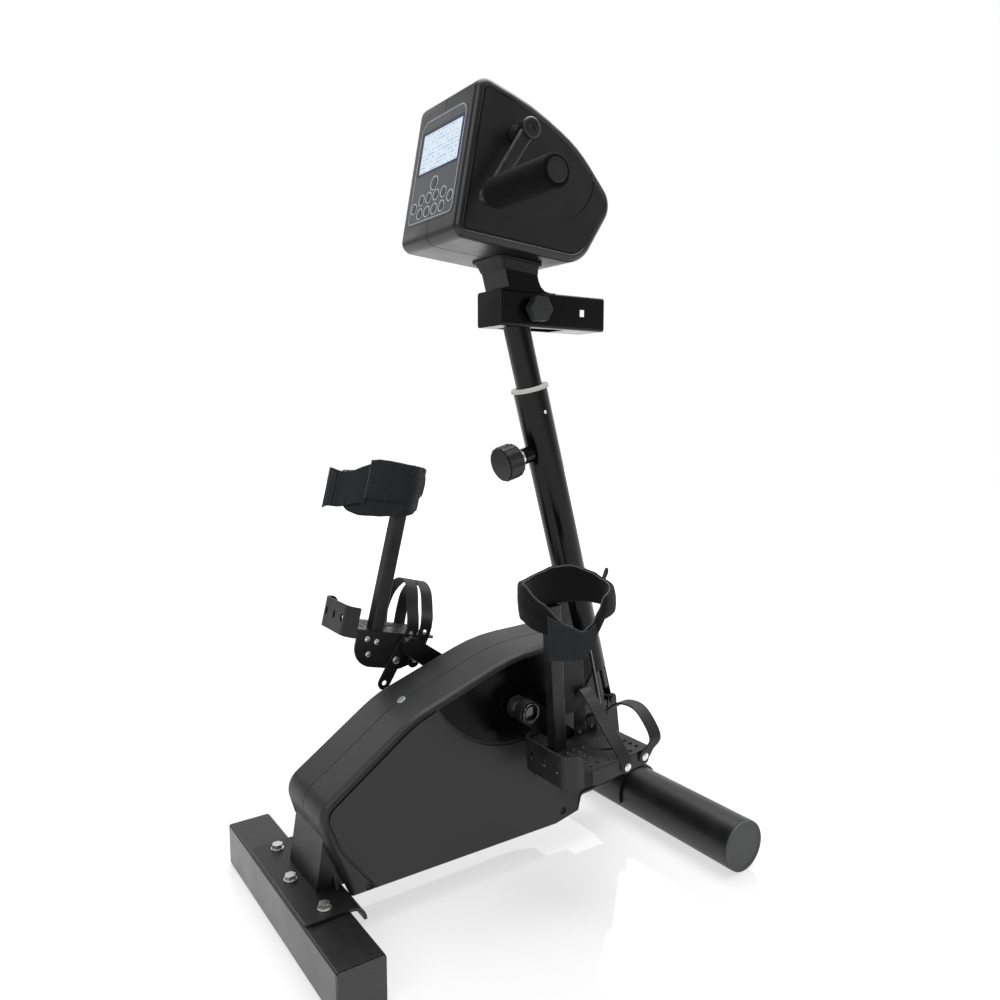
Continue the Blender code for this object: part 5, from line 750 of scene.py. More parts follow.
head = {
    "corners": [(0.1140, 0.8613, 0.045), (0.1721, 0.9496, 0.032), (0.1071, 1.0180, 0.180),
                (0.0285, 1.0573, 0.300), (-0.0545, 1.0790, 0.017), (-0.0934, 0.8773, 0.015)],
    "half": 0.075, "wall": 0.0025, "edge": 0.009, "floor": 0.0713,
    "rim": 0.0105, "panelDepth": 0.0009, "grooveDepth": 0.0021, "grooveWidth": 0.0013,
    "scallop": [(-0.0309, 0.9100), (0.0083, 0.9098), (0.0492, 0.9086), (0.0832, 0.9160), (0.1151, 0.9354),
                (0.1326, 0.9643), (0.1293, 0.9814)],
    "scallopBack": [(0.1050, 1.0000), (-0.0480, 0.9250)], "scallopSlope": 0.030, "scallopOver": 0.004,
    "axle": (-0.0005, 1.012, 0.008), "axleCut": (0.03, 0.09),
    # the neck's opening: width, length across the lean, spare length and corner radius; and where it is cut
    "neck": (0.0, 0.0496, 0.826), "lean": 15.54, "neckHole": (0.075, 0.054, 0.015, 0.006),
    "neckCut": (0.017, 0.067),
    "windowGap": 0.0003, "windowCut": 0.01,
}
seam = {"half": 0.00020, "width": 0.0007, "depth": 0.0009}     # the fine V where two halves meet
panelLip = [(-0.0030, -0.004), (-0.0030, -0.0001), (-0.0015, 0.0004), (-0.0004, 0.0014)]     # (inwards, down)
grooveRound, grooveSlope = 0.0003, 0.0004
cutDepth = 0.02          # how far a cutter reaches past the side that it shapes


def flatUv(piece, place, size, middle):
    # coordinates from 0 to 1 over a flat rectangle of the place
    layer = piece.data.uv_layers.new(name="flat")
    back = place.inverted()
    for loop in piece.data.loops:
        point = back @ piece.data.vertices[loop.vertex_index].co
        layer.data[loop.index].uv = [(point[k] - middle[k]) / size[k] + 0.5 for k in (0, 1)]


def halfCase(name, case):
    # one hollow half, rounded at its outer edge, with the seam's V where the halves meet
    def ring(distance, height):
        return roundedOutline(insetCorners(case["corners"], distance), 5, True), height

    half, edge, wall, floor = (case[key] for key in ("half", "edge", "wall", "floor"))
    turns = [math.radians(t) for t in range(90, -1, -15)]
    levels = [ring(edge * (1 - math.cos(t)), half - edge * (1 - math.sin(t))) for t in turns]
    levels += [ring(0, seam["half"] + seam["width"]), ring(seam["depth"], seam["half"]),
               ring(wall, seam["half"]), ring(wall, floor - edge * 0.6), ring(edge, floor)]
    return lofted(name, levels, sideView)


def panelCutter(case, corners):
    # sinks the side panel and leaves a groove round it, under a sloping rim
    def ring(distance, depth):
        return roundedOutline(insetCorners(corners, distance), 5, True), case["half"] - depth

    groove, width = case["grooveDepth"], case["grooveWidth"]
    levels = [ring(*row) for row in panelLip]
    levels += [ring(0, groove - grooveRound), ring(grooveRound, groove), ring(width, groove),
               ring(width + grooveSlope, case["panelDepth"])]
    return lofted("cutter", levels, sideView)


def slab(points, low, high):
    # a straight cutter through an outline seen from the side
    return lofted("cutter", [(points, low), (points, high)], sideView)


def finishedHalves(piece, name, node, finish, body):
    # the right half and its mirror image, each for its own node
    smoothShaded(piece, 24)
    piece.modifiers.new("flatFaces", "WEIGHTED_NORMAL").keep_sharp = True
    flattened(piece)
    for half, word in ((piece, "right"), (mirroredCopy(piece, name + "_left"), "left")):
        dressed(half, finish, body, [node + "_" + word])


def insideRim(case, margin):
    # keeps what lies inside the rim, near the side
    outline = roundedOutline(insetCorners(case["corners"], case["rim"] + margin), 5)
    return slab(outline, case["half"] - cutDepth, case["half"] + cutDepth)


def makeFairing():
    case = fairing
    half, centre, outside = case["half"], case["sweepCentre"], case["sweepRadius"]
    top = insetCorners(case["corners"], case["rim"])
    corners = case["panelFoot"] + top[3:9] + case["panelFront"]
    sweep = lofted("cutter", [(circlePoints(centre, outside - inset, 120), half - depth)
                              for inset, depth in case["sweepProfile"]], sideView)
    combined(sweep, [insideRim(case, case["sweepMargin"])], "INTERSECT")
    y, z, radius = case["axle"]
    cutters = [panelCutter(case, corners), sweep, slab(circlePoints((y, z), radius), *case["axleCut"]),
               slab(case["mouth"], -case["mouthHalf"], case["mouthHalf"]),
               slab(case["tail"], -case["tailHalf"], case["tailHalf"])]
    screwHoles = [circlePoints(place, case["screwRadius"], 32) for place in case["screws"]]
    cutters += [slab(hole, half - case["screwSunk"], half + cutDepth / 2) for hole in screwHoles]
    shell = combined(halfCase("fairing_case_right", case), cutters, "DIFFERENCE")
    finishedHalves(shell, "fairing_case", "fairing", "fairingMouldedAbs", "frame")


def makeSweepShade():
    # a thin near-black sheet let into the sunk sweep on both sides: painted shade of the recess
    case = fairing
    floor = case["half"] - case["sweepDepth"]
    dish = lofted("fairing_sweep_shade_right", [(circlePoints(case["sweepCentre"], case["sweepRadius"] - inset, 120),
                                          floor + height) for inset, height in case["dish"]], sideView)
    combined(dish, [insideRim(case, case["dishMargin"])], "INTERSECT")
    y, z, radius = case["axle"]
    combined(dish, [slab(circlePoints((y, z), radius), *case["axleCut"])], "DIFFERENCE")
    smoothShaded(dish, 24)
    for piece in (dish, mirroredCopy(dish, "fairing_sweep_shade_left")):
        dressed(piece, "sweepPaintedShade", "frame")


def makeFairingScrews():
    # near-black screws: painted shade in the sunk holes
    profile = [(radius, fairing["half"] - depth) for radius, depth in fairing["screw"]]
    for i, place in enumerate(fairing["screws"]):
        for side in (1, -1):
            screw = turned("fairing_screw_%d_%s" % (i + 1, sideName(side)), profile, alongX(*place, side), 32)
            dressed(smoothShaded(screw), "screwHoleShade", "frame")


def makeSeamPlug():
    # the bright disc let into the seam on top
    y, z = fairing["plug"]
    before, after = Vector(fairing["corners"][8][:2]), Vector(fairing["corners"][9][:2])
    tilt = math.atan2(before.y - after.y, before.x - after.x)
    place = Matrix.Translation((0, y, z)) @ Matrix.Rotation(tilt, 4, "X")
    plug = turned("seam_plug", fairing["plugProfile"], place, 48)
    dressed(smoothShaded(plug), "plugSatinAluminium", "frame")


def scallopCutter(case):
    # a slanted hollow in the head's side, deepest along its lower curved edge
    contour = [tuple(point) for point in smoothPath(case["scallop"], 6)] + case["scallopBack"]
    first, last = Vector(case["scallopBack"][1]), Vector(case["scallopBack"][0])
    across = Vector((last.y - first.y, first.x - last.x)).normalized()
    face = case["half"] - case["panelDepth"] + 0.0001
    low = [(a, b, face - case["scallopSlope"] * (Vector((a, b)) - first).dot(across)) for a, b in contour]
    high = [(a, b, case["half"] + case["scallopOver"]) for a, b in contour]
    return skinned("cutter", [low, high], sideView)


def makeHead():
    case = head
    outline = consoleOutline(-case["windowGap"])
    window = lofted("cutter", [(outline, -case["windowCut"]), (outline, case["windowCut"])], consoleFrame())
    lean = math.radians(case["lean"])
    width, length, spare, corner = case["neckHole"]
    hole = roundedBox(width, length * math.cos(lean) + spare, corner)
    neck = lofted("cutter", [(hole, height) for height in case["neckCut"]],
                  Matrix.Translation(case["neck"]) @ Matrix.Rotation(lean, 4, "X"))
    y, z, radius = case["axle"]
    panel = panelCutter(case, insetCorners(case["corners"], case["rim"]))
    axleHole = slab(circlePoints((y, z), radius, 40), *case["axleCut"])
    cutters = [panel, scallopCutter(case), window, neck, axleHole]
    shell = combined(halfCase("head_case_right", case), cutters, "DIFFERENCE")
    finishedHalves(shell, "head_case", "head_shell", "headMouldedAbs", "head")


# Console: film, lit screen and ringed buttons

console = {
    "up": 0.10426, "width": 0.118, "height": 0.145, "corner": 0.010, "topCorner": 0.019, "proud": 0.0004,
    "thickness": 0.003, "filmEdge": 0.0002, "borderInset": 0.0024, "borderWidth": 0.0008,
    "screen": (0.100, 0.054, 0.0255), "screenThickness": 0.0015, "screenSunk": 0.0008, "screenCorner": 0.001,
    "screenFrame": 0.0036, "frameCorner": 0.003, "windowGap": 0.0006, "windowCorner": 0.0015,
    "largeButton": (0.0, -0.0225, 0.008), "smallButton": 0.006,
    "buttonRows": [(-0.0400, (-0.0285, -0.0095, 0.0095, 0.0285)), (-0.0485, (-0.0470, 0.0470)),
                   (-0.0585, (-0.0285, -0.0095, 0.0095, 0.0285))],
    "buttonGap": 0.00045, "buttonProud": 0.0008, "buttonBehind": 0.0013,
    # a button's face: (inwards, down) from its edge, and its crown's height halfway in and in the middle
    "buttonEdge": [(0, 0.0007), (0.0002, 0.0003), (0.0008, 0)], "buttonCrown": (0.0001, 0.00012),
    "ringGap": 0.0004, "ringWidth": 0.0013, "print": 0.00012,
}


def consoleFrame():
    # X across, Y up the face, Z out of it; the origin is in the middle of the console
    low, high = Vector((0, *head["corners"][5][:2])), Vector((0, *head["corners"][4][:2]))
    up = (high - low).normalized()
    out = Vector((1, 0, 0)).cross(up)
    middle = low + up * console["up"]
    return Matrix(((1, up.x, out.x, middle.x), (0, up.y, out.y, middle.y), (0, up.z, out.z, middle.z),
                   (0, 0, 0, 1)))


def consoleOutline(inset):
    a, b = console["width"] / 2, console["height"] / 2
    low, high = console["corner"], console["topCorner"]
    return roundedOutline(insetCorners([(-a, -b, low), (a, -b, low), (a, b, high), (-a, b, high)], inset), 6)


def printed(name, outside, inside, finish):
    # a ring of ink on the film
    ring = extruded(name, [outside, inside], console["print"], consoleFrame(),
                    console["proud"] + console["print"] / 2)
    return dressed(smoothShaded(ring), finish, "head")


def makeButton(number, x, up, radius):
    node = "button_%d" % number
    front = console["proud"] + console["buttonProud"]
    back = console["proud"] - console["thickness"] - console["buttonBehind"]
    halfway, middle = console["buttonCrown"]
    profile = [(0, back), (radius, back)]
    profile += [(radius - inset, front - drop) for inset, drop in console["buttonEdge"]]
    profile += [(radius * 0.5, front + halfway), (0, front + middle)]
    cap = turned(node + "_cap", profile, consoleFrame() @ Matrix.Translation((x, up, 0)), 40)
    dressed(smoothShaded(cap), "consoleButtonRubber", bodyOf[node], [node])
    near = radius + console["ringGap"]
    printed("ring_%d" % number, circlePoints((x, up), near + console["ringWidth"]),
            circlePoints((x, up), near), "printedPaleInk")


def makeConsole():
    place = consoleFrame()
    width, height, screenUp = console["screen"]
    buttons = [console["largeButton"]] + [(x, up, console["smallButton"])
                                          for up, places in console["buttonRows"] for x in places]
    holes = [circlePoints((x, up), radius + console["buttonGap"], 40) for x, up, radius in buttons]
    gap, edge = console["windowGap"], console["screenFrame"]
    window = roundedBox(width + gap, height + gap, console["windowCorner"], (0, screenUp))
    frameOutside = roundedBox(width + 2 * edge, height + 2 * edge, console["frameCorner"], (0, screenUp))
    film = extruded("console_film", [consoleOutline(0), window, *holes], console["thickness"], place,
                    console["proud"] - console["thickness"] / 2)
    softEdges(film, console["filmEdge"])
    dressed(film, "consolePrintedFilm", bodyOf["console_panel"], ["console_panel"])
    inset = console["borderInset"]
    printed("console_border", consoleOutline(inset), consoleOutline(inset + console["borderWidth"]),
            "printedPaleInk")
    printed("screen_frame", frameOutside, window, "printedNavyInk")
    thickness = console["screenThickness"]
    glass = roundedBox(width, height, console["screenCorner"], (0, screenUp))
    screen = extruded("lit_screen", [glass], thickness, place, -console["screenSunk"] - thickness / 2)
    flatUv(screen, place, (width, height), (0, screenUp))
    dressed(smoothShaded(screen), "screenLitGlass", bodyOf["lcd_screen"], ["lcd_screen"])
    for i, button in enumerate(buttons):
        makeButton(i + 1, *button)


makeFairing()
makeSweepShade()
makeFairingScrews()
makeSeamPlug()
makeHead()
makeConsole()
print("cases and console made")


# Pedals: pressed plates, padded cuffs and straps, in each pedal's own frame: out, towards the toe, up

pedal = {
    "spindles": {1: (0.093613, 0.185784, 3.5), -1: (-0.073813, 0.311216, -14.0)},
    "sheet": 0.003, "inner": 0.103, "outer": 0.197, "top": 0.015,
    # the plate's outline: (out, toe, corner radius)
    "plate": [(0.1085, -0.0980, 0.0135), (0.190, -0.0980, 0.006), (0.190, -0.064, 0.002),
              (0.1964, -0.058, 0.002), (0.1964, 0.0495, 0.006), (0.1036, 0.0495, 0.010),
              (0.1036, -0.0830, 0.001), (0.1085, -0.0830, 0.001)],
    "hub": (0.0125, 0.0088, 0.188), "hubStart": 0.0005, "hubEdge": 0.0008, "pressedEdge": 0.0004,
    "slot": [(0.1493, -0.0194), (0.1703, 0.0074)], "slotRadius": 0.0028,
    "sidePlate": [(-0.0835, -0.0385, 0.030), (-0.004, -0.0385, 0.012), (0.030, -0.0220, 0.006),
                  (0.030, 0.015, 0), (-0.0835, 0.015, 0)],
    "flange": [(-0.055, -0.0085, 0.006), (0.0435, -0.0055, 0.006), (0.0455, 0.013, 0), (-0.057, 0.013, 0)],
    # punched holes, their rows shifted in turn, with none near the slot; the dimple's rim is (outwards, up)
    "punch": 0.0024, "punchRows": [-0.0640, -0.0500, -0.0360, -0.0220, 0.0040, 0.0190, 0.0350],
    "punchColumns": [0.1375, 0.1490, 0.1610, 0.1730, 0.1850], "punchShift": (-0.002, 0.003),
    "bare": (0.160, 0.014, -0.006, 0.024),
    "dimple": [(0.0001, -0.0003), (0.0011, -0.0001), (0.0005, 0.0006), (0.0001, 0.0004)],
    "outerNubs": [(0.0028, 0.0012), (0.0350, 0.0060)], "innerNubs": [(-0.0134, -0.0247), (0.0180, -0.0200)],
    "sideRivets": [(-0.0660, 0.0020), (-0.0500, -0.0010), (-0.0600, -0.0200)],
    "nubHead": 0.0055, "rivetHead": 0.0042, "rivetShank": 0.0031, "rivetRoot": 0.0005, "rivetEdge": 0.0004,
    # a rivet's dome: (inwards, up), then (share of the radius, up), then its crown
    "rivetDome": ((0.0007, 0.0011), (0.45, 0.0016), 0.0017),
    "strapThickness": 0.0024, "strapWidth": 0.020, "strapGap": 0.0003,
}
cuff = {
    # an oval ring: middle (out, toe), half lengths, wall; heights are in the pedal's frame
    "middle": (0.166, -0.0625), "half": (0.0555, 0.066), "wall": 0.008, "puff": 0.0011, "ripple": 0.0012,
    "rimHighlightRadius": 0.0009, "loopRadius": 0.0016,
    # where the right cuff is pressed thin: angle, reach, and how far its faces move in and out
    "thin": (-20, 55, 0.0035, 0.0004),
    # rims and lower edges, by angle from outwards, towards the toe: the right cuff droops on the outside
    "rightRim": [(-180, 0.268), (-146, 0.264), (-120, 0.267), (-100, 0.2665), (-66, 0.249), (-36, 0.222),
                 (-16, 0.2115), (-2, 0.219), (8, 0.232), (22, 0.248), (60, 0.252), (92, 0.256), (108, 0.262),
                 (140, 0.272), (166, 0.2715), (180, 0.268)],
    "rightFoot": [(-180, 0.2195), (-102, 0.2195), (-66, 0.211), (-45, 0.198), (-16, 0.186), (0, 0.202),
                  (16, 0.2195), (180, 0.2195)],
    # webbing and panels: (angle, low, high)
    "web": [(-57, 0.179, 0.236), (-52, 0.178, 0.232), (-38, 0.178, 0.224),
            (-18, 0.177, 0.2125), (-10, 0.187, 0.214), (-2, 0.200, 0.2195)],
    "leftRim": [(-180, 0.2625), (-150, 0.2625), (-135, 0.250), (-118, 0.236), (-90, 0.234), (-45, 0.240),
                (0, 0.245), (60, 0.250), (110, 0.256), (150, 0.2610), (180, 0.2625)],
    "leftFoot": [(-180, 0.2205), (180, 0.2205)],
    "loop": [(95, -0.001, 0.2490), (95, 0.0040, 0.2535), (94, 0.0075, 0.2600), (93, 0.0070, 0.2655),
             (92, 0.0030, 0.2655), (92, -0.0030, 0.2540)],
    "leftPanel": [(-218, 0.2205, 0.2640), (-210, 0.2110, 0.2650), (-190, 0.2080, 0.2645),
                  (-180, 0.2070, 0.2640), (-165, 0.2050, 0.2640), (-150, 0.2035, 0.2630),
                  (-140, 0.2030, 0.2600)],
    "leftBand": [(-222, 0.1990, 0.2180), (-205, 0.1920, 0.2170), (-180, 0.1850, 0.2150),
                 (-160, 0.1800, 0.2160), (-135, 0.1765, 0.2200), (-118, 0.1790, 0.2240),
                 (-104, 0.1860, 0.2300)],
    # the calf post's two edges, by angle: layers outside it bulge over them, within this width
    "postEdges": (-192, 168), "postWidth": 17,
    # the right cuff's hanging lining: (toe, up, corner radius), and how far out it hangs
    "lining": [(-0.0395, 0.0560, 0.006), (-0.0060, 0.0540, 0.010), (0.0080, 0.0800, 0.020),
               (0.0080, 0.1300, 0.030), (-0.0080, 0.1780, 0.020), (-0.0180, 0.2240, 0.004),
               (-0.0395, 0.2240, 0.002)],
    "liningOut": 0.1080, "liningThickness": 0.0020, "liningEdge": 0.0007,
    # the left webbing's free end: (angle, offset) on the oval, then (out, toe), half its thickness, and its
    # lower and upper edges, each with how far it drops towards the end and how much it waves
    "tailOnOval": [(-140, 0.0030), (-128, 0.0050), (-115, 0.0052), (-104, 0.0090)],
    "tailFree": [(0.1560, -0.1470), (0.1660, -0.1500)], "tailHalf": 0.0011,
    "tailLow": (0.1950, 0.0190, 0.0016), "tailHigh": (0.2540, 0.0180, 0.0014),
}
thread = {"pitch": 0.0034, "length": 0.0021, "radius": 0.00028}     # one stitch


def pedalFrame(side):
    y, z, pitch = pedal["spindles"][side]
    return Matrix.Translation((0, y, z)) @ Matrix.Rotation(math.radians(pitch), 4, "X") @ mirrored(side)


def dressedPedal(piece, name, side, finish, nodes=()):
    # a piece of one pedal, named and dressed for its side
    word = "_" + sideName(side)
    piece.name = name + word
    return dressed(piece, finish, "pedal" + word, [node + word for node in nodes])


def atAngle(table, angle, column=1):
    # a value from rows of (angle, value, ...), eased between them
    for first, second in zip(table, table[1:]):
        if first[0] <= angle <= second[0]:
            share = (angle - first[0]) / (second[0] - first[0])
            share = share * share * (3 - 2 * share) * 0.5 + share * 0.5
            return first[column] + (second[column] - first[column]) * share
    return table[0][column] if angle < table[0][0] else table[-1][column]


def hemProfile(low, high, inner, outer, puff, steps=12):
    # a band's section, (offset from the oval, height), with rounded hems
    radius = (outer - inner) / 2
    middle = (inner + outer) / 2
    tall = high - low - 2 * radius
    hem = [math.pi * k / 6 for k in range(7)]
    sides = [k / steps for k in range(1, steps)]
    points = [(middle + radius * math.cos(a), high - radius + radius * math.sin(a)) for a in hem]
    points += [(inner - puff * math.sin(math.pi * t), high - radius - tall * t) for t in sides]
    points += [(middle - radius * math.cos(a), low + radius - radius * math.sin(a)) for a in hem]
    points += [(outer + puff * math.sin(math.pi * t), low + radius + tall * t) for t in sides]
    return points


def onOval(angle, offset, height):
    turn = math.radians(angle)
    (x, y), (a, b) = cuff["middle"], cuff["half"]
    return Vector((x + (a + offset) * math.cos(turn), y + (b + offset) * math.sin(turn), height))


def band(name, rows, place, closed, ripple, seed):
    # rows of (angle, low, high, inner, outer, puff) swept round the oval, with slow and quick ripples
    rings = []
    for angle, *section in rows:
        ring = []
        for offset, height in hemProfile(*section):
            point = onOval(angle, offset, height)
            push = noise.noise(point * 38 + Vector((seed, 0, 0))) * ripple
            push += noise.noise(point * 110 + Vector((0, seed, 0))) * ripple * 0.35
            ring.append(onOval(angle, offset + push, height + push * 0.6))
        rings.append(ring)
    piece = skinned(name, rings, None, closed)
    wrapUv(piece)
    piece.data.transform(place)
    if place.determinant() < 0:
        piece.data.flip_normals()
    return smoothShaded(piece, 50)


def wrapUv(piece):
    # cloth coordinates in metres: round the oval, and up
    layer = piece.data.uv_layers.new(name="cloth")
    x, y = cuff["middle"]
    reach = sum(cuff["half"]) / 2
    for face in piece.data.polygons:
        angles = []
        for index in face.vertices:
            point = piece.data.vertices[index].co
            angles.append(math.atan2(point.y - y, point.x - x))
        for loop, index, angle in zip(face.loop_indices, face.vertices, angles):
            if max(angles) - min(angles) > math.pi and angle < 0:
                angle += 2 * math.pi
            layer.data[loop].uv = (angle * reach, piece.data.vertices[index].co.z)


def stitches(name, path, place):
    # a row of short raised threads along a path
    pitch, length, radius = (thread[key] for key in ("pitch", "length", "radius"))
    points, faces = [], []
    travelled = 0.0
    for first, second in zip(path, path[1:]):
        step = second - first
        while travelled < step.length:
            middle = first + step.normalized() * travelled
            along = step.normalized() * length / 2
            aside = along.cross(Vector((0, 0, 1)))
            aside = (aside if aside.length > 1e-7 else Vector((1, 0, 0))).normalized() * radius
            up = along.cross(aside).normalized() * radius
            base = len(points)
            points += [middle + way for way in (-along, aside, up, -aside, -up, along)]
            faces += [(base, base + 1 + k, base + 1 + (k + 1) % 4) for k in range(4)]
            faces += [(base + 5, base + 1 + (k + 1) % 4, base + 1 + k) for k in range(4)]
            travelled += pitch
        travelled -= step.length
    return smoothShaded(meshFrom(name, points, faces, place), 80)


def turnsFrom(first, last, steps):
    return [first + (last - first) * k / steps for k in range(steps + 1)]


def cuffRing(side):
    # the padded ring, and a pale tape along its upper edge, a painted highlight
    word = sideName(side)
    at, reach, into, out = cuff["thin"]
    rows, edge = [], []
    for angle in turnsFrom(-180, 180, 144)[:-1]:
        low, high = (atAngle(cuff[word + line], angle) for line in ("Foot", "Rim"))
        thin = max(0.0, 1 - abs(angle - at) / reach) if side > 0 else 0.0
        inner, outer = -cuff["wall"] + into * thin, -out * thin
        rows.append((angle, low, high, inner, outer, cuff["puff"]))
        hem = (outer - inner) / 2
        slant = hem * math.sqrt(0.5)
        edge.append(onOval(angle, (inner + outer) / 2 - slant, high - hem + slant))
    ring = band("calf_cuff_pad", rows, pedalFrame(side), True, cuff["ripple"], 3.0 + side)
    dressedPedal(ring, "calf_cuff_pad", side, "cuffPaddedLining", ["calf_cuff"])
    tubeAlong("calf_cuff_rim_highlight", edge, cuff["rimHighlightRadius"], side, True, "cuffEdgeHighlightTape")


def tubeAlong(name, path, radius, side, closed, finish, steps=8):
    # tape or cord of round section, in the pedal's frame
    rings = []
    count = len(path)
    turns = [2 * math.pi * k / steps for k in range(steps)]
    for i, point in enumerate(path):
        before = path[(i - 1) % count] if closed or i else point
        after = path[(i + 1) % count] if closed or i < count - 1 else point
        along = (after - before).normalized()
        aside = along.cross(Vector((0, 0, 1)))
        aside = (aside if aside.length > 0.05 else along.cross(Vector((0, 1, 0)))).normalized()
        up = along.cross(aside)
        rings.append([point + (aside * math.cos(a) + up * math.sin(a)) * radius for a in turns])
    piece = smoothShaded(skinned(name, rings, pedalFrame(side), closed), 60)
    return dressedPedal(piece, name, side, finish)


def overPost(angle):
    # from 0 to 1, how much the calf post lifts what is wrapped over it
    return sum(math.exp(-(((angle - edge) / cuff["postWidth"]) ** 2)) for edge in cuff["postEdges"])


def layerBand(name, rows, inner, thickness, side, ripple, seed, bulge=0.0):
    # an outer layer of webbing over part of the ring
    made = []
    for angle in turnsFrom(rows[0][0], rows[-1][0], 60):
        base = inner + bulge * overPost(angle)
        made.append((angle, atAngle(rows, angle, 1), atAngle(rows, angle, 2), base, base + thickness, 0.0002))
    piece = band(name, made, pedalFrame(side), False, ripple, seed)
    return dressedPedal(piece, name, side, "cuffWovenNylon")


def edgeStitches(name, rows, column, inset, offset, side, bulge=0.0):
    # a row of stitches beside one edge of a layer
    path = [onOval(angle, offset + bulge * overPost(angle), atAngle(rows, angle, column) + inset)
            for angle in turnsFrom(rows[0][0] + 2, rows[-1][0] - 2, 50)]
    piece = stitches(name, path, pedalFrame(side))
    return dressedPedal(piece, name, side, "stitchNylonThread")


def makeLining():
    # the smooth lining that hangs on the inner side, towards the toe
    place = pedalFrame(1) @ Matrix.Translation((cuff["liningOut"], 0, 0)) @ sideView
    flap = extruded("lining", [roundedOutline(cuff["lining"], 6)], cuff["liningThickness"], place)
    softEdges(flap, cuff["liningEdge"])
    dressedPedal(flap, "calf_cuff_lining", 1, "flapLeatherette")


def makeRightCuff():
    cuffRing(1)
    layerBand("calf_cuff_webbing", cuff["web"], 0.0006, 0.0022, 1, 0.0005, 7.0)
    edgeStitches("calf_cuff_webbing_stitches", cuff["web"], 1, 0.0035, 0.0031, 1)
    rim = [(angle, atAngle(cuff["rightFoot"], angle), atAngle(cuff["rightRim"], angle))
           for angle in turnsFrom(-128, -60, 30)]
    edgeStitches("calf_cuff_rim_stitches", rim, 2, -0.0045, 0.0012, 1)
    makeLining()
    loop = [onOval(*point) for point in cuff["loop"]]
    tubeAlong("calf_cuff_loop", smoothPath(loop, 5), cuff["loopRadius"], 1, False, "knobMouldedNylon")


def makeTail():
    # the free end of the webbing, folded out towards the user
    path = [onOval(angle, offset, 0) for angle, offset in cuff["tailOnOval"]]
    path += [Vector((*point, 0)) for point in cuff["tailFree"]]
    line = smoothPath(path, 8)
    end = len(line) - 1
    (bottom, lower, wave), (top, drop, flutter) = cuff["tailLow"], cuff["tailHigh"]
    rings = []
    for i, point in enumerate(line):
        share = i / end
        along = (line[min(i + 1, end)] - line[max(i - 1, 0)]).normalized()
        aside = along.cross(Vector((0, 0, 1))).normalized() * cuff["tailHalf"]
        low = bottom - lower * share + wave * math.sin(share * 9)
        high = top - drop * math.sin(min(share * 1.6, 1) * math.pi / 2) + flutter * math.sin(share * 7 + 1)
        heights = [Vector((0, 0, low + (high - low) * k / 10)) for k in range(11)]
        rings.append([point + aside + up for up in heights]
                     + [point - aside + up for up in reversed(heights)])
    tail = skinned("tail", rings)
    wrapUv(tail)
    tail.data.transform(pedalFrame(-1))
    tail.data.flip_normals()
    dressedPedal(smoothShaded(tail, 50), "calf_cuff_tail", -1, "cuffWovenNylon")


def makeLeftCuff():
    cuffRing(-1)
    panel, overPanel, overBand = cuff["leftPanel"], 0.0072, 0.0102
    layerBand("calf_cuff_panel", panel, 0.0022, 0.0030, -1, 0.0008, 11.0, overPanel)
    layerBand("calf_cuff_webbing", cuff["leftBand"], -0.0012, 0.0022, -1, 0.0008, 17.0, overBand)
    edgeStitches("calf_cuff_panel_stitches", panel, 1, 0.0040, 0.0056, -1, overPanel)
    edgeStitches("calf_cuff_upper_stitches", panel, 2, -0.0040, 0.0056, -1, overPanel)
    angle, low, high = panel[-1]
    edge = [onOval(angle + 0.6, 0.0052, low + (high - low) * k / 8) for k in range(9)]
    # a pale tape down the panel's end: a painted highlight along that edge
    tubeAlong("calf_cuff_panel_highlight", edge, 0.0008, -1, False, "cuffEdgeHighlightTape")
    makeTail()


straps = {
    # outer nub, then the arch, the hole above the inner nub, the inner nub and the free end
    ("toe_strap", 1): [(0.0350, 0.0060), (0.0086, 0.047, 0.0318), (-0.0052, 0.0483, 0.0526),
                       (-0.0269, 0.0491, 0.0657), (-0.0569, 0.0489, 0.0623), (-0.0795, 0.0479, 0.0465),
                       (0.0262, 0.0212), (0.0180, -0.0200), (0.0150, -0.0340)],
    ("toe_strap", -1): [(0.0350, 0.0060), (0.0020, 0.036, 0.040), (-0.006, 0.034, 0.068),
                        (-0.034, 0.032, 0.090), (-0.066, 0.031, 0.082), (-0.086, 0.030, 0.052),
                        (0.0262, 0.0212), (0.0180, -0.0200), (0.0150, -0.0340)],
    ("instep_strap", 1): [(0.0028, 0.0012), (-0.0133, -0.0022, 0.0291), (-0.0418, -0.0007, 0.0547),
                          (-0.0651, 0.0006, 0.0759), (-0.0866, 0.0013, 0.0849),
                          (0.0030, 0.0171), (-0.0134, -0.0247), (-0.0281, -0.0700)],
    ("instep_strap", -1): [(0.0028, 0.0012), (0.0010, 0.001, 0.038), (-0.008, 0.003, 0.068),
                           (-0.034, 0.006, 0.090), (-0.064, 0.006, 0.086), (-0.086, 0.004, 0.052),
                           (0.0030, 0.0171), (-0.0134, -0.0247), (-0.0281, -0.0700)],
}
strap = {"below": 0.0084, "above": 0.016, "endRound": 0.010, "endLeast": 0.04, "corner": 0.0007,
         "untwist": 20,          # path steps over which the strap turns from flat on the flange to its arch
         "punchedHole": 0.0038, "nubHole": 0.0035, "hubHole": 0.0098, "endHoleAt": 0.78, "holeCut": 0.01}


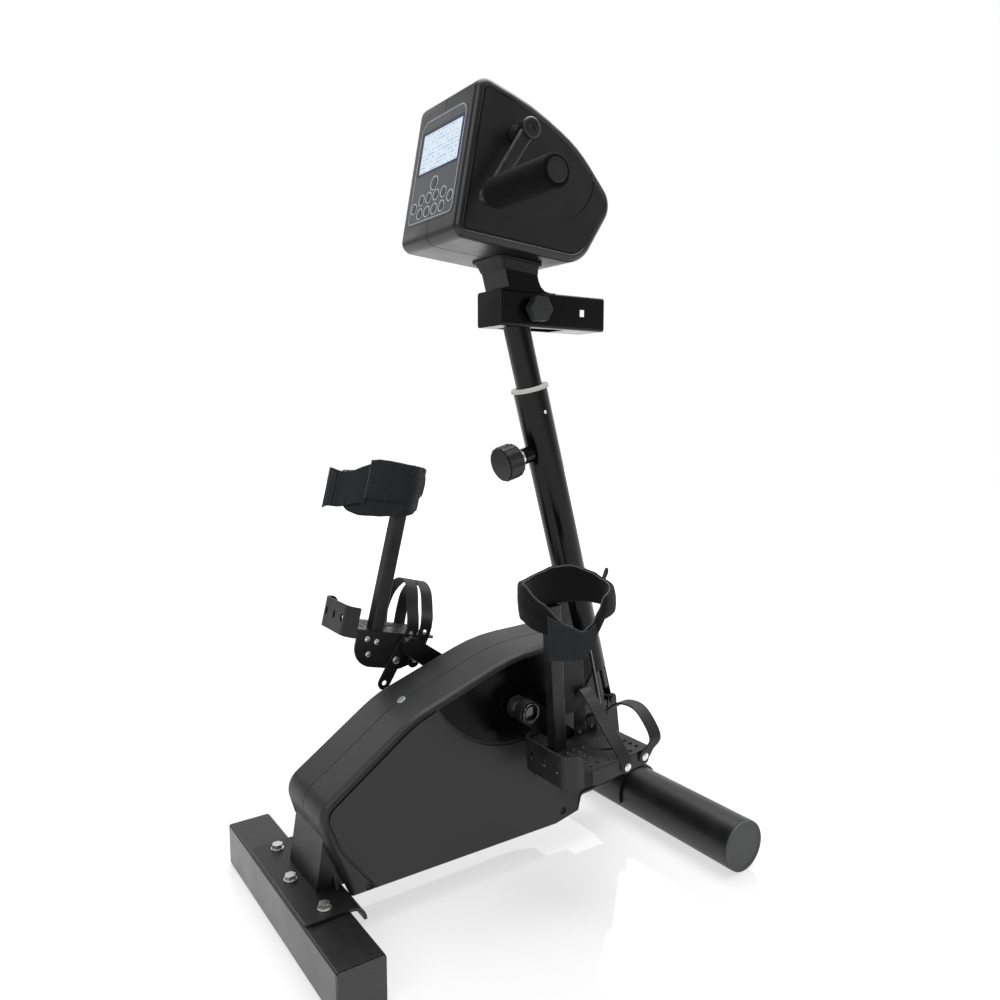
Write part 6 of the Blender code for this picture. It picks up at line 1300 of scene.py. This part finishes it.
def strapPath(name, side):
    # the strap's middle line, from under the outer nub over the foot to the free end on the inner side
    outer, *arch, hole, inner, end = straps[name, side]
    outX = pedal["outer"] + pedal["strapGap"] + pedal["strapThickness"] / 2
    inX = pedal["inner"] - pedal["strapGap"] - pedal["strapThickness"] / 2
    points = [(outX, outer[0], outer[1] - strap["below"]), (outX, *outer),
              (outX + arch[0][0] * 0.2, outer[0] * 0.6 + arch[0][1] * 0.4, arch[0][2] * 0.45)]
    points += [(outX + dx, y, z) for dx, y, z in arch]
    points += [(inX, hole[0], hole[1] + strap["above"]), (inX, *hole), (inX, *inner), (inX, *end)]
    punched = [(hole, strap["punchedHole"], inX), (inner, strap["nubHole"], inX),
               ((0, 0), strap["hubHole"], inX)]
    if name == "instep_strap":
        last = tuple(near + (far - near) * strap["endHoleAt"] for near, far in zip(inner, end))
        punched.append((last, strap["punchedHole"], inX))
    punched.append((outer, strap["nubHole"], outX))
    return smoothPath(points, 9), punched


def makeStrap(name, side):
    path, punched = strapPath(name, side)
    lengths = [0.0]
    for first, second in zip(path, path[1:]):
        lengths.append(lengths[-1] + (second - first).length)
    flat, untwist, end = Vector((0, 1, 0)), strap["untwist"], len(path) - 1
    rings = []
    for i, point in enumerate(path):
        along = (path[min(i + 1, end)] - path[max(i - 1, 0)]).normalized()
        toe = (flat - along * along.y).normalized()
        if i < untwist:
            toe = (toe * (i / untwist) + flat * (1 - i / untwist)).normalized()
        over = along.cross(toe).normalized()
        nearEnd = min(lengths[i], lengths[-1] - lengths[i]) / strap["endRound"]
        width = pedal["strapWidth"] * math.sqrt(max(1 - max(1 - nearEnd, 0.0) ** 2, strap["endLeast"]))
        rings.append([point + toe * a + over * b
                      for a, b in roundedBox(width, pedal["strapThickness"], strap["corner"])])
    piece = skinned("band", rings)
    combined(piece, [slab(circlePoints(place, radius, 24), x - strap["holeCut"], x + strap["holeCut"])
                     for place, radius, x in punched], "DIFFERENCE")
    piece.data.transform(pedalFrame(side))
    if side < 0:
        piece.data.flip_normals()
    dressedPedal(smoothShaded(piece, 40), name + "_band", side, "strapMouldedRubber", [name])


def punchedPlaces():
    x0, reachX, y0, reachY = pedal["bare"]
    return [(x + pedal["punchShift"][row % 2], y) for row, y in enumerate(pedal["punchRows"])
            for x in pedal["punchColumns"] if abs(x - x0) > reachX or abs(y - y0) > reachY]


def makePressing(side):
    # plate, side plate, turned-down flange and hub, in one piece as they are welded
    sheet, top, inner, outer = (pedal[key] for key in ("sheet", "top", "inner", "outer"))
    place = pedalFrame(side)
    sideOf = place @ sideView
    slot = slotOutline(*pedal["slot"], pedal["slotRadius"])
    holes = [circlePoints(spot, pedal["punch"], 20) for spot in punchedPlaces()]
    outlines = [roundedOutline(pedal["plate"], 9), slot, *holes]
    plate = extruded("plate", outlines, sheet, place, top - sheet / 2)
    sidePlate = extruded("side", [roundedOutline(pedal["sidePlate"], 6)], sheet, sideOf, inner + sheet / 2)
    flange = extruded("flange", [roundedOutline(pedal["flange"], 9)], sheet, sideOf, outer - sheet / 2)
    radius, bore, end = pedal["hub"]
    start, edge = inner + pedal["hubStart"], pedal["hubEdge"]
    hub = turned("hub", [(radius, start), (radius, end - edge), (radius - edge, end), (bore, end),
                         (bore, start)], place @ alongX(0, 0), 40)
    piece = softEdges(joined(plate, [sidePlate, flange, hub]), pedal["pressedEdge"], 2, 40)
    dressedPedal(piece, "footplate_pressing", side, "pedalPowderCoat", ["footplate"])


def makeDimples(side):
    # the raised rims of the punched holes, in a pale steel that paints the glints on their edges
    profile = [(pedal["punch"] + out, pedal["top"] + up) for out, up in pedal["dimple"]]
    rims = [turned("rim", profile, pedalFrame(side) @ Matrix.Translation((x, y, 0)), 16)
            for x, y in punchedPlaces()]
    dressedPedal(smoothShaded(joined(rims[0], rims[1:]), 60), "footplate_dimples", side, "dimpleRimHighlight")


def makeRivets(side):
    # the straps' nubs stand over the strap, the side plate's rivets lie on the plate
    outer, inner = (pedal["outer"], 1), (pedal["inner"], -1)
    stack = 2 * pedal["strapGap"] + pedal["strapThickness"]
    rows = [(*outer, y, z, pedal["nubHead"], stack) for y, z in pedal["outerNubs"]]
    rows += [(*inner, y, z, pedal["nubHead"], stack) for y, z in pedal["innerNubs"]]
    rows += [(*inner, y, z, pedal["rivetHead"], 0.0) for y, z in pedal["sideRivets"]]
    (flat, low), (shoulder, mid), crown = pedal["rivetDome"]
    shank, heads = pedal["rivetShank"], []
    for x, direction, y, z, big, reach in rows:
        turn = alongX(y, z) if direction > 0 else alongX(y, z) @ Matrix.Rotation(math.pi, 4, "X")
        root, start = x * direction - pedal["rivetRoot"], (x + direction * reach) * direction
        profile = [(0, root), (shank, root), (shank, start), (big, start), (big, start + pedal["rivetEdge"]),
                   (big - flat, start + low), (big * shoulder, start + mid), (0, start + crown)]
        heads.append(turned("rivet", profile, pedalFrame(side) @ turn, 28))
    heads = joined(heads[0], heads[1:])
    dressedPedal(smoothShaded(heads, 40), "footplate_rivets", side, "boltZincPlate")


for side in (1, -1):
    makePressing(side)
    makeDimples(side)
    makeRivets(side)
    for name in ("toe_strap", "instep_strap"):
        makeStrap(name, side)
makeRightCuff()
makeLeftCuff()
print("pedals dressed")


# Hand grips: foam sleeves with a moulded end disc

grip = {
    "right": (-0.062565, 0.922031), "left": (0.061565, 1.101969),     # each stud's place: y, z
    "start": 0.1125, "end": 0.240, "radius": 0.019, "neck": 0.0160, "bore": 0.0063, "discSunk": 0.0012,
    # the foam's rounded ends: (inwards from the neck or the full radius, along from the start or the end)
    "startEdge": [(0.003, 0), (0.001, 0.0008), (0, 0.004)], "swell": 0.0072,
    "endEdge": [(0, 0.0040), (0.0006, 0.0018), (0.0022, 0.0004), (0.0040, 0), (0.0044, 0), (0.0048, 0.0012)],
    # the end disc, with a shallow ring in its face: (radius, back from the end)
    "disc": [(0, 0.0030), (0.0141, 0.0030), (0.0141, 0.0006), (0.0137, 0.0001), (0.0129, 0.0001),
             (0.0124, 0.0007), (0.0118, 0.0007), (0, 0.0004)],
}


def makeGrip(side):
    word = sideName(side)
    start, end, radius, neck, bore = (grip[key] for key in ("start", "end", "radius", "neck", "bore"))
    profile = [(bore, start)] + [(neck - inset, start + along) for inset, along in grip["startEdge"]]
    first = profile[-1][1]
    profile += [(neck + (radius - neck) * math.sin(math.pi * t / 12), first + grip["swell"] * t / 6)
                for t in range(1, 7)]
    profile += [(radius, start + 0.012 + 0.011 * k) for k in range(1, 10)]
    profile += [(radius - inset, end - back) for inset, back in grip["endEdge"]]
    profile.append((bore, end - grip["discSunk"]))
    place = alongX(*grip[word], side)
    foam = turned("grip_foam_" + word, profile, place, 72)
    dressed(smoothShaded(foam, 50), "gripFoam", "grip_" + word, ["hand_grip_" + word])
    disc = turned("grip_disc_" + word, [(radius, end - back) for radius, back in grip["disc"]], place, 56)
    dressed(smoothShaded(disc, 30), "gripEndRubber", "grip_" + word)


makeGrip(1)
makeGrip(-1)
print("grips made")


# Post, boot, hand cranks and small fittings

post = {
    "base": (0.0, 0.2009, 0.254), "radius": 0.025, "wall": 0.002, "length": 0.4525, "edge": 0.0006,
    # the hinge tongue under the tube: length, half angle and lap; its barrel: radius, half length and hole
    "tongue": (0.062, 22.5, 0.0004), "barrel": (0.006, 0.010, 0.0034), "barrelBack": 0.0205,
    # along the tube from its base: the pull pin's collar (radius, reach, hole) and the pin's bright sleeve
    "pinAt": 0.363, "collar": (0.012, 0.0400, 0.0055), "collarEdge": 0.0008, "collarRoot": 0.001,
    "sleeve": [(0.0107, 0.0405), (0.0114, 0.0410), (0.0114, 0.0520), (0.0107, 0.0525)],
    "screwAt": 0.4200,
    "screw": [(0, 0.0240), (0.0026, 0.0240), (0.0026, 0.0256), (0.0020, 0.0263), (0, 0.0266)],
}


def postFrame(along=0.0, back=0.0):
    return (Matrix.Translation(post["base"]) @ Matrix.Rotation(math.radians(head["lean"]), 4, "X")
            @ Matrix.Translation((0, back, along)))


def pinFrame():
    # Z out of the tube, towards the user
    return postFrame(post["pinAt"]) @ Matrix.Rotation(math.radians(90), 4, "X")


def makeOuterPost():
    radius, length, edge = (post[key] for key in ("radius", "length", "edge"))
    bore = radius - post["wall"]
    tube = turned("outer_post_tube", [(radius - edge, length), (radius, length - edge), (radius, 0.0),
                                      (bore, 0.0), (bore, length)], postFrame(), 96)
    tongue, half, lap = post["tongue"]
    outline = (arcPoints((0, 0), radius, 90 - half, 90 + half, 16)
               + arcPoints((0, 0), bore, 90 + half, 90 - half, 16))
    strip = lofted("strip", [(outline, -tongue), (outline, lap)], postFrame())
    big, reach, hole = post["barrel"]
    hinge = postFrame(-tongue - big / 2, post["barrelBack"]).translation
    barrel = turned("barrel", [(big, -reach), (big, reach), (hole, reach), (hole, -reach)],
                    alongX(hinge.y, hinge.z), 32)
    wide, out, pinHole = post["collar"]
    root, edge = bore + post["collarRoot"], post["collarEdge"]
    collar = turned("collar", [(wide, root), (wide, out - edge), (wide - edge, out), (pinHole, out),
                               (pinHole, root)], pinFrame(), 40)
    tube = joined(tube, [strip, barrel, collar])
    dressed(smoothShaded(tube, 40), "postGlossEnamel", bodyOf["outer_post"], ["outer_post"])


def makePinSleeve():
    sleeve = turned("pull_pin_sleeve", post["sleeve"], pinFrame(), 40)
    dressed(smoothShaded(sleeve, 40), "boltZincPlate", bodyOf["pull_pin_knob"])


def makePostScrew():
    place = postFrame(post["screwAt"]) @ Matrix.Rotation(math.radians(90), 4, "Y")
    screw = turned("post_screw", post["screw"], place, 24)
    dressed(smoothShaded(screw, 40), "boltZincPlate", "frame")


boot = {
    # depth below the head's underside, width, length, corner radius
    "rings": [(0.0003, 0.0780, 0.0700, 0.007), (0.0007, 0.0790, 0.0710, 0.0075),
              (0.0030, 0.0790, 0.0710, 0.0075), (0.0036, 0.0780, 0.0700, 0.007),
              (0.0040, 0.0720, 0.0650, 0.006), (0.0090, 0.0670, 0.0610, 0.005),
              (0.0150, 0.0625, 0.0590, 0.004), (0.0160, 0.0610, 0.0575, 0.003),
              (0.0160, 0.0590, 0.0563, 0.001), (0.0003, 0.0590, 0.0563, 0.001)],
    "centre": (0.0, 0.0376, 0.8672), "tilt": -4.41,
    "shift": 0.363,          # how far the boot moves towards the toe for each unit down, with the neck
}


def makeBoot():
    place = Matrix.Translation(boot["centre"]) @ Matrix.Rotation(math.radians(boot["tilt"]), 4, "X")
    levels = [(roundedBox(width, length, radius, (0, boot["shift"] * depth)), -depth)
              for depth, width, length, radius in boot["rings"]]
    collar = lofted("neck_boot_collar", levels, place, True)
    dressed(smoothShaded(collar, 40), "bootMouldedRubber", bodyOf["neck_boot"], ["neck_boot"])


handCrank = {
    # the arm: half width at the axle and at the grip, half thickness, and how much of it its corners round
    "axis": (-0.0005, 1.012), "armX": 0.1035, "wide": (0.0100, 0.0080), "thick": 0.0048, "round": 0.92,
    # turned parts, (radius, distance from the middle): the boss on the axle, the eye round the grip's stud,
    # the nut behind it and the stud
    "boss": [(0, 0.1106), (0.0028, 0.1106), (0.0034, 0.1118), (0.0046, 0.1120), (0.0052, 0.1112),
             (0.0072, 0.1110), (0.0078, 0.1119), (0.0098, 0.1120), (0.0122, 0.1114), (0.0133, 0.1102),
             (0.0135, 0.1085), (0.0135, 0.0990), (0.0128, 0.0980), (0.0073, 0.0980), (0.0073, 0.1100),
             (0, 0.1100)],
    "eye": [(0, 0.1120), (0.0068, 0.1120), (0.0080, 0.1112), (0.0080, 0.1098), (0.0092, 0.1094),
            (0.0103, 0.1084), (0.0105, 0.1070), (0.0105, 0.0998), (0.0096, 0.0988), (0, 0.0988)],
    "nut": [(0, 0.0930), (0.0075, 0.0930), (0.0075, 0.1000), (0, 0.1000)],
    "stud": [(0, 0.0990), (0.0040, 0.0990), (0.0040, 0.2320), (0, 0.2320)],
}


def makeHandCrank(side):
    node = "hand_crank_" + sideName(side)
    axis, end = handCrank["axis"], grip[sideName(side)]
    reach = Vector(end) - Vector(axis)
    outwards = Matrix(((0, 1, 0, 0), (0, 0, 1, 0), (1, 0, 0, 0), (0, 0, 0, 1)))
    along = (mirrored(side) @ Matrix.Translation((handCrank["armX"], *axis))
             @ Matrix.Rotation(math.atan2(reach.y, reach.x), 4, "X") @ outwards)
    (first, last), thick = handCrank["wide"], handCrank["thick"]
    sections = []
    for share in [k / 12 for k in range(13)]:
        half = first + (last - first) * share
        sections.append((roundedBox(2 * half, 2 * thick, thick * handCrank["round"]), reach.length * share))
    arm = lofted("hand_crank_casting_" + sideName(side), sections, along)
    parts = (("boss", axis, 56), ("eye", end, 48), ("nut", end, 6), ("stud", end, 24))
    fittings = [turned("fitting", handCrank[part], alongX(*place, side), steps)
                for part, place, steps in parts]
    dressed(smoothShaded(joined(arm, fittings), 36), "handCrankEnamel", bodyOf[node], [node])


crankCap = {
    "axle": (0.0099, 0.2485),
    # a domed lens in a raised rim: (radius, distance from the middle)
    "profile": [(0, 0.0980), (0.0134, 0.0980), (0.0138, 0.0990), (0.0133, 0.1003), (0.0123, 0.1008),
                (0.0112, 0.1003), (0.0100, 0.1001), (0.0060, 0.1010), (0, 0.1014)],
}


def makeCrankCap(side):
    cap = turned("crank_cap_" + sideName(side), crankCap["profile"], alongX(*crankCap["axle"], side))
    dressed(smoothShaded(cap, 50), "capGlossNylon", "lower_crank")


makeCrankCap(1)
makeCrankCap(-1)
makeOuterPost()
makePinSleeve()
makeBoot()
makeHandCrank(1)
makeHandCrank(-1)
makePostScrew()
print("post, cranks and small fittings made")
